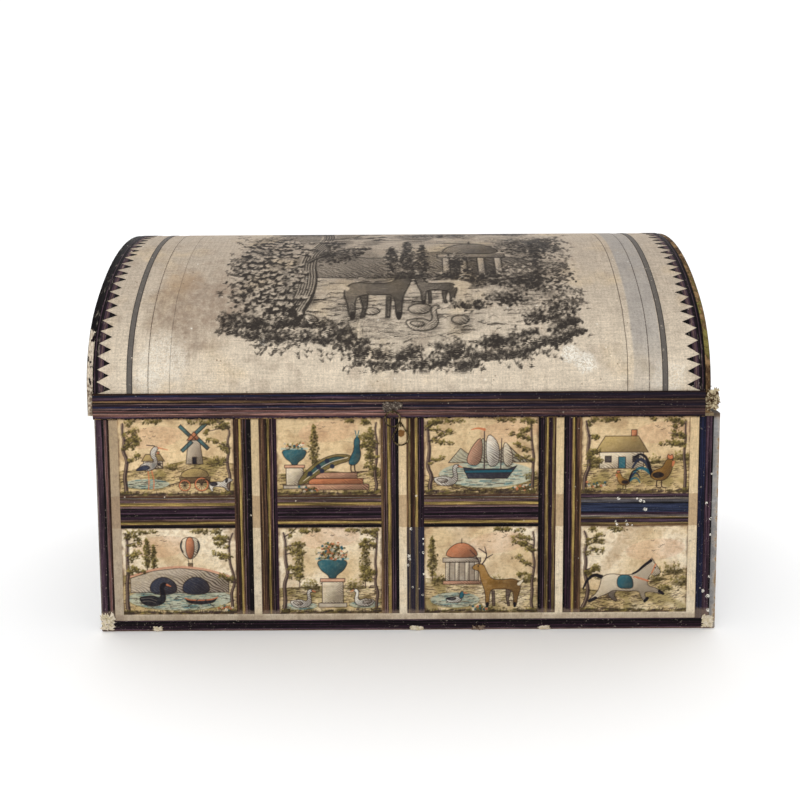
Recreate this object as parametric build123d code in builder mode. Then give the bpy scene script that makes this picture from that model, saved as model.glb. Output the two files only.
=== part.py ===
"""Papered pasteboard trunk with a barrel lid, a cloth hinge and a ring on each side of the seam.

Millimetres, +Z up, +X to the right of someone who faces the front, front towards -Y.
The origin is the centre of the base's underside.
"""

import os
from math import asin, atan2, cos, degrees, pi, sin, sqrt

from build123d import *

os.makedirs("parts", exist_ok=True)

# Trunk body
trunk_width = 455.0
trunk_depth = 290.0
wall_top = 163.2
board = 4.2

# Lid. It is a little narrower than the body, and has slipped sideways on its cloth hinge.
lid_shortfall = 3.0
lid_slip = -6.0
lid_overhang = 0.8
seam_gap = 0.3
rim_height = 16.4
dome_rise = 105.6
shoulder_radius = 81.7
lip_board_thickness = 2.6
lip_drop = 2.0

# Papers. They stop short of the floor, and those on the front stop short of the lip.
paper = 0.3
print_paper = 0.2
paper_foot = 0.6
lip_clearance = 0.4

# Layout of the front, from the bottom left corner. The four pictures in a row were cut by hand,
# so their widths differ a little and are given as shares of what the strips leave.
left_edge_strip = 9.8
right_edge_strip = 10.5
edge_margin = 6.5
foot_margin = 4.7
bottom_strip_height = 7.7
column_strip = 12.9
column_gap = 5.7
middle_strip_height = 24.4
lower_picture_height = 66.0
picture_shares = (84.2, 76.1, 83.7, 79.0)

# Dog-tooth strips and bands across the dome, measured from the ends of the dome board
tooth_count = 43
tooth_reach = 12.7
tooth_spine = 2.5
left_band_inset = 24.4
right_band_inset = 26.4
band_width = 4.2
print_inset = 39.8

# Cloth hinge
cloth = 0.4
hinge_inset = 4.0
hinge_box_leaf_height = 22.0
hinge_lid_leaf_height = 14.0
fold_radius = 0.3
fold_clearance = 0.3

# Wire closure
cotter_wire_radius = 0.5
ring_wire_radius = 0.6
cotter_wire_sides = 6
ring_wire_sides = 8
awl_hole_sides = 8
eye_clearance = 0.3
leg_clearance = 0.25
leg_length = 6.5
leg_gap = 0.06
eye_fillet = 0.8
leg_bend = 0.9
hole_clearance = 0.12
eye_stand_off = 2.0
lid_ring_x = -10.6
lid_ring_radius = 5.6
lid_eye_above_seam = 3.6
box_ring_x = -4.8
box_ring_radius = 5.7
box_ring_tip_radius = 1.6
box_ring_height = 15.4
box_eye_below_top = 6.6
tab_width = 15.6
tab_height = 9.0
tab_thickness = 0.8
tab_below_eye = 1.6

# Worked out from the sizes above
half_width = trunk_width / 2
half_depth = trunk_depth / 2
inner_half = half_width - board
lid_bottom = wall_top + seam_gap
spring = lid_bottom + rim_height
lip_bottom = lid_bottom - lip_drop
front_top = lip_bottom - lip_clearance
dome_half = (trunk_width - lid_shortfall) / 2 - board
span = (trunk_depth + lid_overhang) / 2
lid_middle_y = -lid_overhang / 2
flange_face = -half_depth - lid_overhang
lip_face = flange_face - lip_board_thickness - paper
tab_face = lip_face - tab_thickness
lid_ring_y = tab_face - eye_stand_off
lid_eye_z = lid_bottom + lid_eye_above_seam
box_ring_y = -half_depth - paper - eye_stand_off
box_eye_z = wall_top - box_eye_below_top

# Three-centred arch: two shoulders of shoulder_radius and a flatter crown, tangent where they meet
shoulder_x = span - shoulder_radius
shoulder_rest = dome_rise - shoulder_radius
crown_drop = (shoulder_x**2 - shoulder_rest**2) / (2 * shoulder_rest)
crown_radius = dome_rise + crown_drop
shoulder_angle = atan2(crown_drop, shoulder_x)


def arch_face(grow, foot):
    """Draws the dome's section in a YZ sketch, grown outwards by grow, down to the height foot."""
    side = span + grow
    turn = degrees(shoulder_angle)
    with BuildLine() as outline:
        if foot < spring:
            Line((lid_middle_y - side, foot), (lid_middle_y - side, spring))
            Line((lid_middle_y + side, spring), (lid_middle_y + side, foot))
        CenterArc((lid_middle_y - shoulder_x, spring), shoulder_radius + grow, 180, -turn)
        CenterArc((lid_middle_y, spring - crown_drop), crown_radius + grow, 180 - turn, 2 * turn - 180)
        CenterArc((lid_middle_y + shoulder_x, spring), shoulder_radius + grow, turn, -turn)
        Line((lid_middle_y + side, foot), (lid_middle_y - side, foot))
    make_face(outline.edges())


def arch_length(grow):
    """Length along the arch from one spring to the other, on a surface grown outwards by grow."""
    return 2 * (shoulder_radius + grow) * shoulder_angle + (crown_radius + grow) * (pi - 2 * shoulder_angle)


def arch_plane(distance, grow, x):
    """Plane at a distance along the grown arch from the front spring: local X along the trunk, Z out."""
    shoulder = (shoulder_radius + grow) * shoulder_angle
    crown = arch_length(grow) - 2 * shoulder
    if distance < shoulder:
        angle = pi - distance / (shoulder_radius + grow)
        centre, radius = (lid_middle_y - shoulder_x, spring), shoulder_radius + grow
    elif distance < shoulder + crown:
        angle = pi - shoulder_angle - (distance - shoulder) / (crown_radius + grow)
        centre, radius = (lid_middle_y, spring - crown_drop), crown_radius + grow
    else:
        angle = shoulder_angle - (distance - shoulder - crown) / (shoulder_radius + grow)
        centre, radius = (lid_middle_y + shoulder_x, spring), shoulder_radius + grow
    out = (0, cos(angle), sin(angle))
    point = (x, centre[0] + radius * out[1], centre[1] + radius * out[2])
    return Plane(origin=point, x_dir=(1, 0, 0), z_dir=out)


def arch_shell(low, high, foot, x_low, x_high):
    """Adds the part of the arch between two growths and two places along X, down to foot."""
    with BuildSketch(Plane.YZ.offset(x_low)) as outside:
        arch_face(high, foot)
    extrude(outside.sketch, amount=x_high - x_low)
    with BuildSketch(Plane.YZ.offset(x_low)) as inside:
        arch_face(low, foot)
    extrude(inside.sketch, amount=x_high - x_low, mode=Mode.SUBTRACT)


def block(x_low, x_high, y_low, y_high, z_low, z_high, mode=Mode.ADD):
    """Adds, or cuts with mode, a box between six coordinates."""
    with Locations(((x_low + x_high) / 2, (y_low + y_high) / 2, (z_low + z_high) / 2)):
        Box(x_high - x_low, y_high - y_low, z_high - z_low, mode=mode)


def punch(x, z, y_low, y_high):
    """Cuts the awl hole for a cotter's legs along Y through what lies between two depths."""
    flat_radius = 2 * cotter_wire_radius + leg_gap / 2 + hole_clearance
    with BuildSketch(Plane.XZ.offset(1 - y_low)) as hole:
        with Locations((x, z)):
            RegularPolygon(flat_radius, awl_hole_sides, major_radius=False)
    extrude(hole.sketch, amount=-(y_high - y_low + 2), mode=Mode.SUBTRACT)


pieces = {}

# Boards of the body. The end boards lap the ends of the front and back boards.
with BuildPart() as base_board:
    block(-half_width, half_width, -half_depth, half_depth, 0, board)
pieces["base_board"] = base_board

with BuildPart() as front_board:
    block(-inner_half, inner_half, -half_depth, board - half_depth, board, wall_top)
    punch(box_ring_x, box_eye_z, -half_depth, board - half_depth)
pieces["front_board"] = front_board

with BuildPart() as back_board:
    block(-inner_half, inner_half, half_depth - board, half_depth, board, wall_top)
pieces["back_board"] = back_board

with BuildPart() as left_end_board:
    block(-half_width, -inner_half, -half_depth, half_depth, board, wall_top)
pieces["left_end_board"] = left_end_board

with BuildPart() as right_end_board:
    mirror(left_end_board.part, about=Plane.YZ)
pieces["right_end_board"] = right_end_board

# Lining papers of the body
lining_x = inner_half - paper
lining_y = half_depth - board
with BuildPart() as base_lining:
    block(-inner_half, inner_half, -lining_y, lining_y, board, board + paper)
pieces["base_lining"] = base_lining

with BuildPart() as front_lining:
    block(-lining_x, lining_x, -lining_y, paper - lining_y, board + paper, wall_top)
    punch(box_ring_x, box_eye_z, -lining_y, paper - lining_y)
pieces["front_lining"] = front_lining

with BuildPart() as back_lining:
    block(-lining_x, lining_x, lining_y - paper, lining_y, board + paper, wall_top)
pieces["back_lining"] = back_lining

with BuildPart() as left_lining:
    block(-inner_half, -lining_x, -lining_y, lining_y, board + paper, wall_top)
pieces["left_lining"] = left_lining

with BuildPart() as right_lining:
    mirror(left_lining.part, about=Plane.YZ)
pieces["right_lining"] = right_lining

# Ground papers outside. The end papers turn round both corners onto the edges of the end boards.
with BuildPart() as front_paper:
    block(-inner_half, inner_half, -half_depth - paper, -half_depth, paper_foot, wall_top)
    punch(box_ring_x, box_eye_z, -half_depth - paper, -half_depth)
pieces["front_paper"] = front_paper

with BuildPart() as back_paper:
    block(-inner_half, inner_half, half_depth, half_depth + paper, paper_foot, wall_top)
pieces["back_paper"] = back_paper

with BuildPart() as left_end_paper:
    with BuildSketch(Plane.XY.offset(paper_foot)):
        with Locations((-half_width - paper / 2 + board / 2, 0)):
            Rectangle(board + paper, trunk_depth + 2 * paper)
        with Locations((-half_width + board / 2, 0)):
            Rectangle(board, trunk_depth, mode=Mode.SUBTRACT)
    extrude(amount=wall_top - paper_foot)
pieces["left_end_paper"] = left_end_paper

with BuildPart() as right_end_paper:
    mirror(left_end_paper.part, about=Plane.YZ)
pieces["right_end_paper"] = right_end_paper

# Applied papers on the front, all in one layer over the ground paper
layer_back = -half_depth - paper
layer_face = layer_back - paper
strip_left = -half_width - paper
strip_foot = paper_foot + bottom_strip_height
left_edge = -half_width + left_edge_strip
right_edge = inner_half - right_edge_strip
lower_low = strip_foot + foot_margin
lower_high = lower_low + lower_picture_height
upper_low = lower_high + middle_strip_height

with BuildPart() as bottom_strip:
    block(strip_left, inner_half, layer_face, layer_back, paper_foot, strip_foot)
pieces["bottom_strip"] = bottom_strip

with BuildPart() as left_edge_strip_paper:
    block(strip_left, left_edge, layer_face, layer_back, strip_foot, front_top)
pieces["left_edge_strip"] = left_edge_strip_paper

with BuildPart() as right_edge_strip_paper:
    block(right_edge, inner_half, layer_face, layer_back, strip_foot, front_top)
pieces["right_edge_strip"] = right_edge_strip_paper

picture_run = right_edge - left_edge - 2 * edge_margin - 3 * (2 * column_strip + column_gap)
picture_left = left_edge + edge_margin
for number, share in enumerate(picture_shares, 1):
    picture_right = picture_left + picture_run * share / sum(picture_shares)
    with BuildPart() as lower_picture:
        block(picture_left, picture_right, layer_face, layer_back, lower_low, lower_high)
    pieces[f"lower_picture_{number}"] = lower_picture
    with BuildPart() as middle_strip:
        block(picture_left, picture_right, layer_face, layer_back, lower_high, upper_low)
    pieces[f"middle_strip_{number}"] = middle_strip
    with BuildPart() as upper_picture:
        block(picture_left, picture_right, layer_face, layer_back, upper_low, front_top)
    pieces[f"upper_picture_{number}"] = upper_picture
    if number < len(picture_shares):
        with BuildPart() as left_column_strip:
            block(
                picture_right, picture_right + column_strip, layer_face, layer_back, lower_low, front_top
            )
        pieces[f"column_strip_{number}_left"] = left_column_strip
        picture_left = picture_right + 2 * column_strip + column_gap
        with BuildPart() as right_column_strip:
            block(picture_left - column_strip, picture_left, layer_face, layer_back, lower_low, front_top)
        pieces[f"column_strip_{number}_right"] = right_column_strip

# Boards of the lid. The cheeks lap the ends of the dome board.
dome_left = lid_slip - dome_half
dome_right = lid_slip + dome_half
with BuildPart() as dome_board:
    arch_shell(-board, 0, lid_bottom, dome_left, dome_right)
    punch(lid_ring_x, lid_eye_z, flange_face, flange_face + board)
pieces["dome_board"] = dome_board

with BuildPart() as left_cheek_board:
    with BuildSketch(Plane.YZ.offset(dome_left - board)):
        arch_face(0, lid_bottom)
    extrude(amount=board)
pieces["left_cheek_board"] = left_cheek_board

with BuildPart() as right_cheek_board:
    with BuildSketch(Plane.YZ.offset(dome_right)):
        arch_face(0, lid_bottom)
    extrude(amount=board)
pieces["right_cheek_board"] = right_cheek_board

with BuildPart() as front_lip_board:
    block(dome_left, dome_right, flange_face - lip_board_thickness, flange_face, lip_bottom, spring)
    punch(lid_ring_x, lid_eye_z, flange_face - lip_board_thickness, flange_face)
pieces["front_lip_board"] = front_lip_board

# Papers of the lid. The lip's strip turns back over the top edge of the lip board.
with BuildPart() as lip_strip:
    block(dome_left, dome_right, lip_face, lip_face + paper, lip_bottom, spring + paper)
    block(dome_left, dome_right, lip_face, flange_face - 2 * paper, spring, spring + paper)
    punch(lid_ring_x, lid_eye_z, lip_face, lip_face + paper)
pieces["lip_strip"] = lip_strip

with BuildPart() as dome_paper:
    arch_shell(0, paper, lid_bottom, dome_left, dome_right)
    block(
        dome_left, dome_right, flange_face - paper, flange_face, lid_bottom, spring, mode=Mode.SUBTRACT
    )
pieces["dome_paper"] = dome_paper

with BuildPart() as left_cheek_paper:
    with BuildSketch(Plane.YZ.offset(dome_left - board - paper)):
        arch_face(0, lid_bottom)
    extrude(amount=paper)
pieces["left_cheek_paper"] = left_cheek_paper

with BuildPart() as right_cheek_paper:
    with BuildSketch(Plane.YZ.offset(dome_right + board)):
        arch_face(0, lid_bottom)
    extrude(amount=paper)
pieces["right_cheek_paper"] = right_cheek_paper

with BuildPart() as dome_print:
    arch_shell(paper, paper + print_paper, spring, dome_left + print_inset, dome_right - print_inset)
pieces["dome_print"] = dome_print

with BuildPart() as left_band:
    band_low = dome_left + left_band_inset
    arch_shell(paper, paper + print_paper, spring, band_low, band_low + band_width)
pieces["left_grey_band"] = left_band

with BuildPart() as right_band:
    band_high = dome_right - right_band_inset
    arch_shell(paper, paper + print_paper, spring, band_high - band_width, band_high)
pieces["right_grey_band"] = right_band

# Dog-tooth strips. Each is a curved strip with a row of notches cut square to the dome.
tooth_pitch = arch_length(2 * paper) / tooth_count
tooth_tip = 0.4
notch_over = 1.0
notch_half = (tooth_pitch - tooth_tip) / 2
notch_grow = 1 + notch_over / (tooth_reach - tooth_spine)


def cut_notches(edge_x, inward):
    """Cuts the notches between the teeth of a strip whose spine lies along edge_x."""
    planes = [arch_plane(n * tooth_pitch, 2 * paper, edge_x) for n in range(tooth_count + 1)]
    with BuildSketch(*planes) as notches:
        Polygon(
            (inward * tooth_spine, 0),
            (inward * (tooth_reach + notch_over), inward * notch_half * notch_grow),
            (inward * (tooth_reach + notch_over), -inward * notch_half * notch_grow),
            align=None,
        )
    extrude(notches.sketch, amount=notch_over, both=True, mode=Mode.SUBTRACT)


with BuildPart() as left_tooth_strip:
    arch_shell(paper, 2 * paper, spring, dome_left, dome_left + tooth_reach)
    cut_notches(dome_left, 1)
pieces["left_tooth_strip"] = left_tooth_strip

with BuildPart() as right_tooth_strip:
    arch_shell(paper, 2 * paper, spring, dome_right - tooth_reach, dome_right)
    cut_notches(dome_right, -1)
pieces["right_tooth_strip"] = right_tooth_strip

# Lining papers of the lid
with BuildPart() as dome_lining:
    arch_shell(-board - paper, -board, lid_bottom, dome_left + paper, dome_right - paper)
    punch(lid_ring_x, lid_eye_z, flange_face + board, flange_face + board + paper)
pieces["dome_lining"] = dome_lining

with BuildPart() as left_cheek_lining:
    with BuildSketch(Plane.YZ.offset(dome_left)):
        arch_face(-board, lid_bottom)
    extrude(amount=paper)
pieces["left_cheek_lining"] = left_cheek_lining

with BuildPart() as right_cheek_lining:
    with BuildSketch(Plane.YZ.offset(dome_right - paper)):
        arch_face(-board, lid_bottom)
    extrude(amount=paper)
pieces["right_cheek_lining"] = right_cheek_lining

# Cloth hinge behind. The fold is a small roll on the hinge's axis, on the body's leaf.
leaf_face = half_depth + paper + cloth
axis_z = wall_top + seam_gap / 2
hinge_left = max(-inner_half, dome_left) + hinge_inset
hinge_right = min(inner_half, dome_right) - hinge_inset
with BuildPart() as hinge_box_leaf:
    with BuildSketch(Plane.YZ.offset(hinge_left)):
        with Locations((leaf_face - cloth / 2, wall_top - hinge_box_leaf_height / 2)):
            Rectangle(cloth, hinge_box_leaf_height)
        with Locations((leaf_face, axis_z)):
            Circle(fold_radius)
    extrude(amount=hinge_right - hinge_left)
pieces["hinge_box_leaf"] = hinge_box_leaf

with BuildPart() as hinge_lid_leaf:
    leaf_low = axis_z + fold_radius + fold_clearance
    leaf_high = leaf_low + hinge_lid_leaf_height
    block(hinge_left, hinge_right, leaf_face - cloth, leaf_face, leaf_low, leaf_high)
pieces["hinge_lid_leaf"] = hinge_lid_leaf


def cotter(x, eye_y, eye_z, inner_y):
    """Sweeps a split pin of wire: an eye round the ring's wire, and two legs splayed sideways at inner_y."""
    leg = cotter_wire_radius + leg_gap / 2
    eye = ring_wire_radius + eye_clearance + cotter_wire_radius
    neck_y = sqrt((eye + eye_fillet) ** 2 - (leg + eye_fillet) ** 2)
    neck = degrees(atan2(leg + eye_fillet, neck_y))
    bend_y = inner_y + leg_clearance + cotter_wire_radius - leg_bend
    end_y = bend_y + leg_bend
    half_turn = leg_bend * sin(pi / 4)
    with BuildLine(Plane.YZ.offset(x)) as wire:
        for side in (1, -1):
            leg_z = eye_z + side * leg
            Line((end_y, leg_z, side * (leg_bend + leg_length)), (end_y, leg_z, side * leg_bend))
            ThreePointArc(
                (end_y, leg_z, side * leg_bend),
                (bend_y + half_turn, leg_z, side * (leg_bend - half_turn)),
                (bend_y, leg_z, 0),
            )
            Line((bend_y, leg_z), (eye_y + neck_y, leg_z))
            CenterArc((eye_y + neck_y, leg_z + side * eye_fillet), eye_fillet, -side * 90, side * (neck - 90))
        CenterArc((eye_y, eye_z), eye, neck, 360 - 2 * neck)
    path = wire.wire()
    with BuildSketch(Plane(origin=path @ 0, x_dir=(0, 1, 0), z_dir=path % 0)) as section:
        RegularPolygon(cotter_wire_radius, cotter_wire_sides)
    sweep(section.sketch, path=path)


# Leather tab, cotters and rings. Each ring hangs through the eye of its cotter.
with BuildPart() as clasp_tab:
    tab_low = lid_eye_z - tab_below_eye
    tab_left = lid_ring_x - tab_width / 2
    with BuildSketch(Plane.XZ.offset(-lip_face)):
        with BuildLine():
            Polyline(
                (tab_left + 0.12 * tab_width, tab_low),
                (tab_left + 0.62 * tab_width, tab_low + 0.08 * tab_height),
                (tab_left + tab_width, tab_low + 0.3 * tab_height),
                (tab_left + 0.93 * tab_width, tab_low + 0.9 * tab_height),
                (tab_left + 0.5 * tab_width, tab_low + tab_height),
                (tab_left, tab_low + 0.72 * tab_height),
                close=True,
            )
        make_face()
    extrude(amount=tab_thickness)
    punch(lid_ring_x, lid_eye_z, tab_face, lip_face)
pieces["clasp_tab"] = clasp_tab

with BuildPart() as lid_cotter:
    cotter(lid_ring_x, lid_ring_y, lid_eye_z, flange_face + board + paper)
pieces["lid_cotter"] = lid_cotter

with BuildPart() as box_cotter:
    cotter(box_ring_x, box_ring_y, box_eye_z, -half_depth + board + paper)
pieces["box_cotter"] = box_cotter

with BuildPart() as lid_ring:
    ring_axis = Axis((lid_ring_x, lid_ring_y, lid_eye_z - lid_ring_radius), (0, 1, 0))
    with BuildSketch(Plane.YZ.offset(lid_ring_x)):
        with Locations((lid_ring_y, lid_eye_z)):
            RegularPolygon(ring_wire_radius, ring_wire_sides)
    revolve(axis=ring_axis)
pieces["lid_ring"] = lid_ring

with BuildPart() as box_ring:
    middle_z = box_eye_z - box_ring_height + box_ring_radius
    tip_z = box_eye_z - box_ring_tip_radius
    lean = degrees(asin((box_ring_radius - box_ring_tip_radius) / (tip_z - middle_z)))
    with BuildLine(Plane.XZ.offset(-box_ring_y)) as pear:
        tip = CenterArc((box_ring_x, tip_z), box_ring_tip_radius, lean, 180 - 2 * lean)
        bow = CenterArc((box_ring_x, middle_z), box_ring_radius, 180 - lean, 180 + 2 * lean)
        Line(tip @ 1, bow @ 0)
        Line(bow @ 1, tip @ 0)
    pear_path = pear.wire()
    with BuildSketch(Plane(origin=pear_path @ 0, z_dir=pear_path % 0)):
        RegularPolygon(ring_wire_radius, ring_wire_sides)
    sweep(path=pear_path)
pieces["box_ring"] = box_ring

for name, piece in pieces.items():
    piece.part.label = name
    export_step(piece.part, f"parts/{name}.step")
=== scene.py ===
"""Looks of a papered pasteboard trunk: its papers, prints, cloth hinge, wire closure and wear."""

import logging
import math
from collections.abc import Callable, Sequence
from dataclasses import dataclass
from enum import Enum

import bmesh
import bpy
import numpy as np
from mathutils import Matrix, Vector


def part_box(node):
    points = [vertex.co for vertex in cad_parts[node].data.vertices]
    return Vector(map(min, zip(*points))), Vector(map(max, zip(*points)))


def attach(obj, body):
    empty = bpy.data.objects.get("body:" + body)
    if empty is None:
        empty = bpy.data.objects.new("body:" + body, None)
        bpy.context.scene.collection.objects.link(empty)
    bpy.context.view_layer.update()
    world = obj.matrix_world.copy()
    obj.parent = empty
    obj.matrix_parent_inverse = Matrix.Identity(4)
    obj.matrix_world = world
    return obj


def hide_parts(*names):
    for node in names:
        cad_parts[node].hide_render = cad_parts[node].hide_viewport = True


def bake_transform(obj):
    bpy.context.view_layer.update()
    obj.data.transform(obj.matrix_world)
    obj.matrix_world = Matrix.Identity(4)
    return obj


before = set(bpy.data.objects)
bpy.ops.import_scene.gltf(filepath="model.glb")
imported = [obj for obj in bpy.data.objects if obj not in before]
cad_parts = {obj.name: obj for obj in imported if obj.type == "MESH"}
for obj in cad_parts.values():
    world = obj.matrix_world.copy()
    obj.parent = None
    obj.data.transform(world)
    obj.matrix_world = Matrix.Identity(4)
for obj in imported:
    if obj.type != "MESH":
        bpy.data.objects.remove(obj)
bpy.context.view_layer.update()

LOG = logging.getLogger("trunk")
Array = np.ndarray
Material = bpy.types.Material
Socket = bpy.types.NodeSocket
Thing = bpy.types.Object
Point = tuple[float, float]
Triple = tuple[float, float, float]
MM = 0.001


class Paint(Enum):
    """Inks, dyes, papers and stains of the trunk, as sRGB hex; some of them also lay painted shade."""

    SOOT = "080406"
    AUBERGINE = "150b12"
    NAVY = "15172a"
    PLUM = "22131d"
    DAMSON = "3a2a33"
    MULBERRY = "54413f"
    UMBER = "412d22"
    WALNUT = "2c1b13"
    BRACKEN = "5c4630"
    OLIVE = "675635"
    OCHRE = "84703f"
    MADDER = "62433e"
    RUST = "744c20"
    SLATE = "23283a"
    PEWTER = "484548"
    STONE = "696058"
    CREAM = "d6bc92"
    IVORY = "e4d5ba"
    HONEY = "a58560"
    CHALK = "e9e3d6"
    LINEN = "dccfba"
    TAUPE = "b9ac9b"
    TEA = "8f7b69"
    INK = "26211f"
    ASH = "949291"
    SMOKE = "7c7a79"
    BAND_GREY = "625d58"
    BOARD = "8f7350"
    BOARD_DARK = "6a5237"
    MOSS = "7d7440"
    BUFF = "cbbc9b"
    FOX = "94692f"
    BRASS = "8f7f5c"
    TARNISH = "2e2415"
    LEATHER = "685c52"
    LEATHER_DARK = "2a2220"
    FLAX = "8e7d64"
    FLAX_DARK = "5f5140"
    LEAF = "756736"
    LEAF_DARK = "41381f"
    LEAF_LIGHT = "9d8b50"
    BARK = "3d2f2e"
    BARK_LIGHT = "8a7360"
    STRAW = "b59b62"
    TEAL = "1f5766"
    SKY = "a9b3a4"
    CORAL = "c8764e"
    ROSE = "c99478"
    BLACK = "120f16"
    OUTLINE = "2c1f19"
    SALMON = "7f6055"
    DOME_LOW = "d9cab4"
    # the crown's colour: partly the paper's tone, partly painted shade
    DOME_HIGH = "b9aa98"

    @property
    def srgb(self) -> Array:
        """The colour's three parts from 0 to 1, as they are written."""
        return np.array([int(self.value[i : i + 2], 16) / 255 for i in (0, 2, 4)])

    @property
    def linear(self) -> tuple[float, float, float, float]:
        """The colour as a shader takes it, with full cover."""
        return (*linear(self.srgb), 1.0)


Run = tuple[tuple[Paint, float], ...]


def run(text: str) -> Run:
    """Reads printed stripes, written as paint names and widths in turn."""
    words = text.split()
    return tuple((Paint[name], float(width)) for name, width in zip(words[::2], words[1::2]))


def linear(srgb: Array) -> Array:
    """Turns written colours into the linear ones that a shader takes."""
    return np.where(srgb <= 0.04045, srgb / 12.92, ((srgb + 0.055) / 1.055) ** 2.4)


@dataclass(frozen=True)
class Arch:
    """The dome's three-centred section, in millimetres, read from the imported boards."""

    spring: float
    middle: float
    span: float
    rise: float
    shoulder: float = 81.7

    @classmethod
    def from_frame(cls) -> "Arch":
        """Reads the arch's sizes off the dome board and the print on it."""
        low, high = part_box("dome_board")
        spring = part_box("dome_print")[0].z
        return cls(
            spring=spring / MM,
            middle=(low.y + high.y) / 2 / MM,
            span=(high.y - low.y) / 2 / MM,
            rise=(high.z - spring) / MM,
        )

    @property
    def drop(self) -> float:
        """How far the crown's centre lies below the spring."""
        side, rest = self.span - self.shoulder, self.rise - self.shoulder
        return (side**2 - rest**2) / (2 * rest)

    @property
    def turn(self) -> float:
        """The angle that each shoulder turns through, in radians."""
        return math.atan2(self.drop, self.span - self.shoulder)

    def length(self, grow: float = 0.0) -> float:
        """Returns the length along the arch from spring to spring, on a surface grown by grow."""
        crown = self.rise + self.drop + grow
        return 2 * (self.shoulder + grow) * self.turn + crown * (math.pi - 2 * self.turn)

    def place(self, along: Array, grow: Array | float = 0.0) -> tuple[Array, Array]:
        """Finds points of the arch.

        Args:
            along: Distances from the front spring, measured on the bare arch.
            grow: Height of the points above the bare arch.

        Returns:
            The Y and Z of each point.
        """
        along = np.asarray(along, float)
        first = self.shoulder * self.turn
        second = self.length() - first
        crown = self.rise + self.drop
        on_crown = (along > first) & (along < second)
        angle = np.where(
            along <= first,
            math.pi - along / self.shoulder,
            np.where(
                on_crown,
                math.pi - self.turn - (along - first) / crown,
                self.turn - (along - second) / self.shoulder,
            ),
        )
        offset = self.span - self.shoulder
        centre = np.where(on_crown, 0.0, np.where(along <= first, -offset, offset))
        foot = np.where(on_crown, -self.drop, 0.0)
        radius = np.where(on_crown, crown, self.shoulder) + grow
        return self.middle + centre + radius * np.cos(angle), self.spring + foot + radius * np.sin(angle)


ARCH = Arch.from_frame()


def corner(node: str) -> tuple[Array, Array]:
    """Returns the lowest and highest corner of a CAD node, in millimetres."""
    low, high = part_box(node)
    return np.array(low) / MM, np.array(high) / MM


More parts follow.
